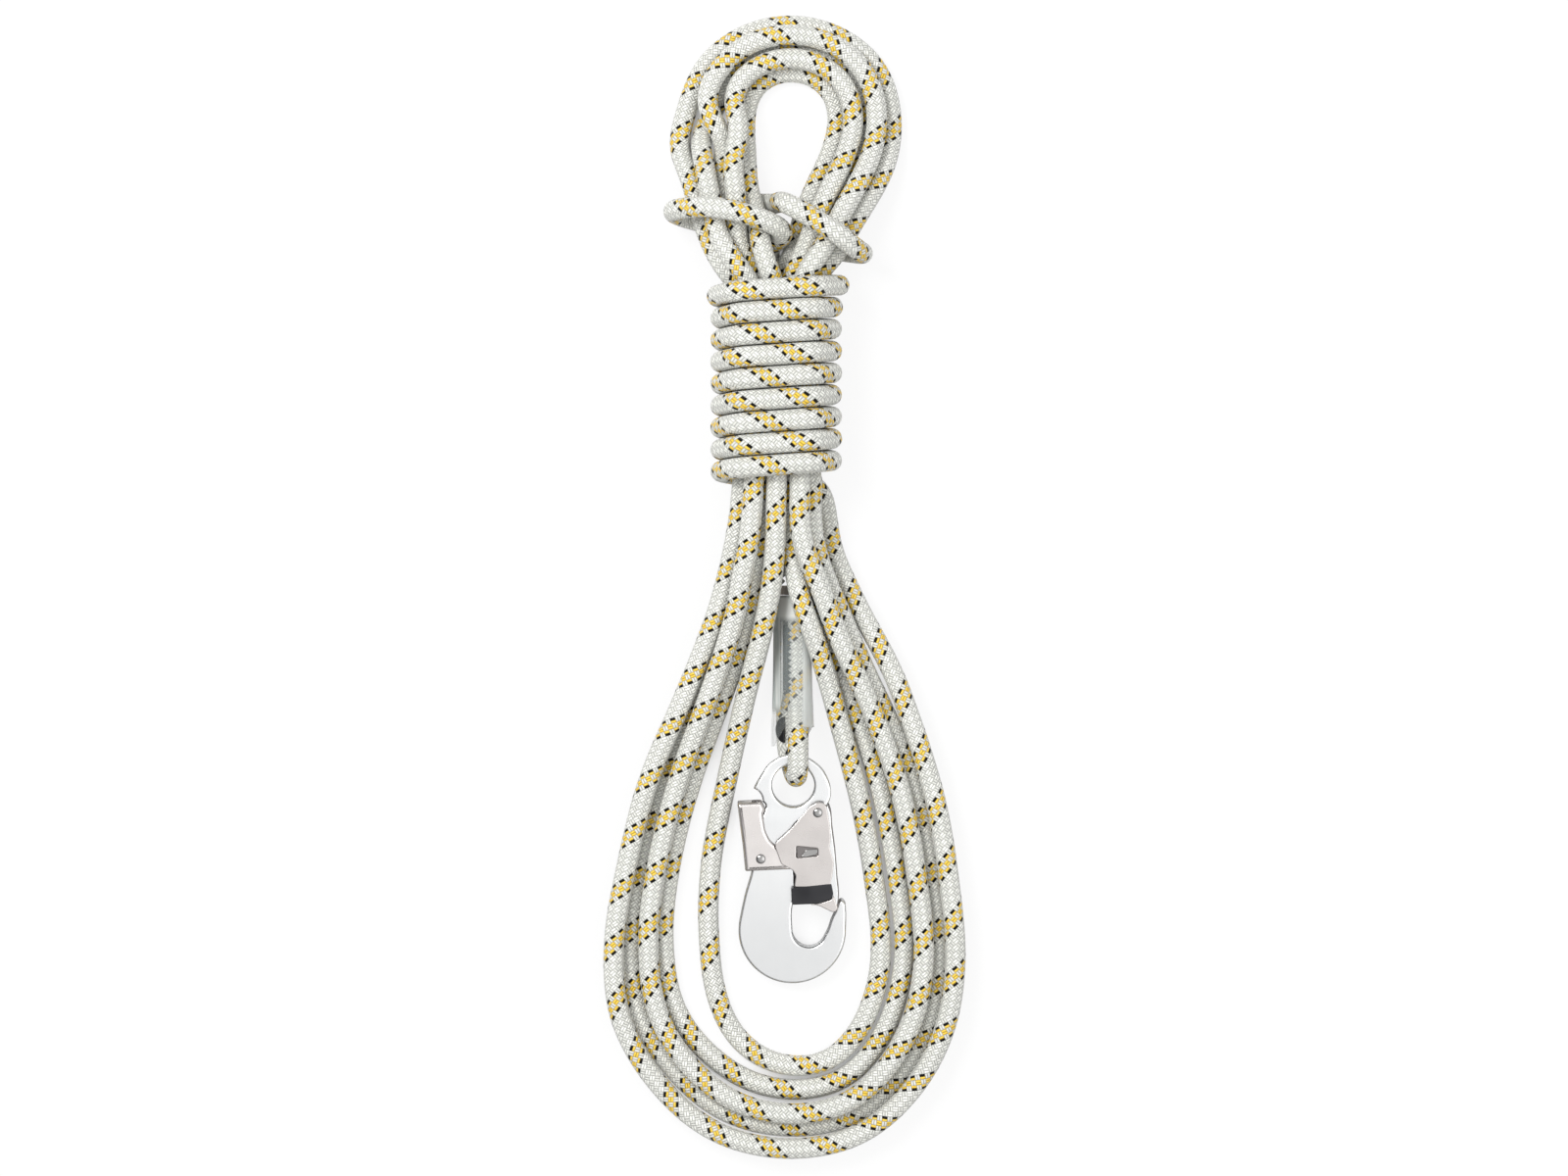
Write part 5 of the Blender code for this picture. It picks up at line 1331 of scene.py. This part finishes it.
def sleeve_piece(clear):
    """The clear tube: rings carried down both legs, outside and back up inside."""
    shares = np.linspace(0, 1, SLEEVE_RINGS)
    outside = [sleeve_ring(s, SLEEVE_WALL) for s in shares]
    rings = np.array(outside + [sleeve_ring(s, 0) for s in shares[::-1]])
    faces = grid_faces(*rings.shape[:2], close_rows=True)
    sleeve = mesh_object("clear_tube", rings.reshape(-1, 3), faces, clear)
    dress(sleeve, "rope", ("clear_sleeve",), "sleeve")


def stitch_piece(thread):
    """The zigzag seam: its height across the seam swings as a triangle wave."""
    turns = np.arange(STITCHES + 1)
    ys, swing = THREAD_TOP_Y - turns * STITCH_STEP, THREAD_WIDTH / 2 * (-1.0) ** turns
    corners = np.array([seam(y, THREAD_ACROSS + s, 2 * THREAD_LIFT) for y, s in zip(ys, swing)])
    marks = np.linspace(0, STITCHES, STITCHES * STITCH_CUTS + 1)
    path = np.stack([np.interp(marks, turns, corners[:, k]) for k in range(3)], axis=1)
    stitches = swept("eye_seam", path, STITCH_D / 2, STITCH_SIDES, thread, floor=False)
    dress(stitches, "rope", ("eye_stitching",), "thread")


def painted_seam_shadow(strip):
    """Painted shadow between the stitches: a dark sheet whose rim swings with them and shows as dark
    teeth.
    """
    rims = SEAM_SHADOW_ACROSS + SEAM_SHADOW_WIDTH * (np.arange(STITCHES + 1) % 2)
    rows = [np.linspace(SEAM_SHADOW_ACROSS - SEAM_SHADOW_OVERLAP, rim, LABEL_COLUMNS) for rim in rims]
    grid = np.array([[seam(THREAD_TOP_Y - k * STITCH_STEP, across, SEAM_SHADOW_LIFT) for across in row]
                     for k, row in enumerate(rows)])
    dress(sheet("painted_seam_shadow", grid, SEAM_SHADOW_THICKNESS, strip), "rope", ("eye_stitching",), "thread")


def label_piece(strip):
    """The blank strip beside the stitches, standing for the label, its dark teal a painted shade between
    the legs: its section carried down the flat between the legs.
    """
    ys = np.linspace(LABEL_TOP_Y, LABEL_TOP_Y - LABEL_LENGTH, LABEL_ROWS)
    across = np.linspace(LABEL_ACROSS, LABEL_ACROSS + LABEL_WIDTH, LABEL_COLUMNS)
    grid = np.array([[seam(y, a, THREAD_LIFT + LABEL_THICKNESS / 2) for a in across] for y in ys])
    dress(sheet("blank_strip", grid, LABEL_THICKNESS, strip), "rope", ("eye_label",), "label")


def strip_cord(thread):
    """The thin white cord beside the strip, which bends away to the left at its lower end."""
    ys = np.linspace(CORD_TOP_Y, CORD_BOTTOM_Y, LABEL_ROWS)
    bend = np.clip((CORD_BEND_Y - ys) / (CORD_BEND_Y - CORD_BOTTOM_Y), 0, 1)
    lift = CORD_D / 2 + THREAD_LIFT + LABEL_THICKNESS / 2
    path = np.array([seam(y, CORD_ACROSS - b * b * CORD_SWAY, lift) for y, b in zip(ys, bend)])
    cord = swept("strip_cord", path, CORD_D / 2, CORD_SIDES, thread, floor=False)
    dress(cord, "rope", ("eye_stitching",), "thread")


def wedge_piece(black):
    """The black keeper: a D outline swollen to a rounded plate."""
    angles = np.linspace(math.pi / 2, 3 * math.pi / 2, 4 * WEDGE_STEPS + 1)
    outline = [(WEDGE_WIDTH * math.cos(a), WEDGE_LENGTH / 2 * math.sin(a)) for a in angles]
    obj = flat_piece("black_keeper", [outline], WEDGE_DEPTH / 2, WEDGE_DEPTH * WEDGE_ROUND_SHARE, black)
    y = WEDGE_TOP_Y - WEDGE_LENGTH / 2
    lean = math.radians(WEDGE_LEAN_DEG)
    flat = np.array([math.cos(lean), math.sin(lean)])
    outward = np.array([-math.sin(lean), math.cos(lean)])
    _, back = leg_centres(y)
    x, z = back + flat * WEDGE_WIDTH / 2 + outward * (ROPE_D / 2 + WEDGE_LIFT + WEDGE_DEPTH / 2)
    obj.data.transform(Matrix.Translation((x, y, z)) @ Matrix.Rotation(-lean, 4, "Y"))
    dress(crisp(obj), "rope", ("eye_wedge",), "wedge")


# Stage

def sky(scene):
    """A dome that darkens to the horizon, in reflections more so to the left; the camera sees white."""
    world = Nodes(bpy.data.worlds.new("studio"))
    scene.world = world.owner
    rays = world.add("LightPath").outputs
    lean = world.add("CombineXYZ", world.product(rays["Is Glossy Ray"], SKY_LEAN), 0.0, 1.0)
    height = world.add("VectorMath", world.place("Generated"), lean.outputs[0], operation="DOT_PRODUCT")
    ramp = world.add("ValToRGB", height.outputs["Value"])
    for element, tone, start in zip(ramp.color_ramp.elements, SKY_TONES, SKY_HEIGHTS):
        element.color, element.position = tone, start
    dome = world.tree.nodes["Background"]
    world.link(ramp.outputs[0], dome.inputs["Color"])
    dome.inputs["Strength"].default_value = SKY_STRENGTH
    plain = world.add("Background", (1, 1, 1, 1))
    seen = world.add("MixShader", rays["Is Camera Ray"], dome.outputs[0], plain.outputs[0])
    world.link(seen.outputs[0], world.tree.nodes["World Output"].inputs[0])


def white_floor():
    """A floor that glows white to the camera, less in a crevice, and looks darker in reflections,
    but hardly in those that lean toward the hank's head."""
    n = painted("white_floor")
    rays = n.add("LightPath").outputs
    n.finish(Base_Color=(FLOOR_TONE, FLOOR_TONE, FLOOR_TONE, 1), Roughness=FLOOR_ROUGHNESS,
             Specular_IOR_Level=0.0)
    open_air = n.add("AmbientOcclusion")
    open_air.inputs["Distance"].default_value = CREVICE_REACH
    white = n.product(rays["Is Camera Ray"], n.ramp(open_air.outputs["AO"], *CREVICE_RAMP))
    back = n.split(n.add("NewGeometry").outputs["Incoming"])
    dark = n.ramp(back[1], *REFLECTED_RAMP)
    share = n.math("MULTIPLY_ADD", rays["Is Glossy Ray"], dark, white, clamp=True)
    glow = n.add("Emission")
    n.link(rays["Is Camera Ray"], glow.inputs["Strength"])
    look = n.add("MixShader", share, n.shader.outputs[0], glow.outputs[0])
    n.link(look.outputs[0], n.tree.nodes["Material Output"].inputs["Surface"])
    square = np.array([(-1, -1, 0), (1, -1, 0), (1, 1, 0), (-1, 1, 0)]) * FLOOR_HALF
    mesh_object("floor", square - (0, 0, FLOOR_DROP), [(0, 1, 2, 3)], n.owner)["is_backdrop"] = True


def stage():
    """White floor, soft light and the camera over the lanyard."""
    scene = bpy.context.scene
    scene.view_settings.view_transform = "Standard"
    sky(scene)
    white_floor()
    for name, place, size, power in LIGHTS:
        data = bpy.data.lights.new(name, "AREA")
        data.size, data.energy = size, power
        lamp = linked(name, data)
        lamp.location = place
        lamp.rotation_mode = "QUATERNION"
        lamp.rotation_quaternion = (-Vector(place)).to_track_quat("-Z", "Y")
    data = bpy.data.cameras.new("camera")
    camera = linked("camera", data)
    camera.location = (*VIEW_CENTRE, MIDDLE_HEIGHT + CAMERA_HEIGHT)
    data.sensor_width = SENSOR
    data.lens = SENSOR * CAMERA_HEIGHT / VIEW_WIDTH
    data.clip_end = FAR_CLIP
    scene.camera = camera


def main():
    """Dress the lanyard and set the stage."""
    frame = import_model()
    solid_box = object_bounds()
    steels = {name: metal_material(name) for name in METALS}
    plastics = {name: plastic_material(name) for name in PLASTICS}
    thread = thread_material()
    rope_pieces(braid_material())
    sleeve_piece(sleeve_material())
    stitch_piece(thread)
    strip_cord(thread)
    label_piece(plastics["label_and_painted_shade"])
    painted_seam_shadow(plastics["label_and_painted_shade"])
    wedge_piece(plastics["black_rubber"])
    hook_pieces(steels)
    for node, material in (
        ("tail_sealed_end", plastics["melted_end"]),
        ("eye_sealed_end", plastics["melted_eye_end_painted_light"]),
        ("gate_spacer_front", steels["spacer_steel"]),
        ("gate_spacer_back", steels["spacer_steel"]),
    ):
        for slot in frame["nodes"][node].material_slots:
            slot.material = material
    stage()
    boxes = [[list(map(float, corner)) for corner in pair] for pair in (solid_box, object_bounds())]


main()
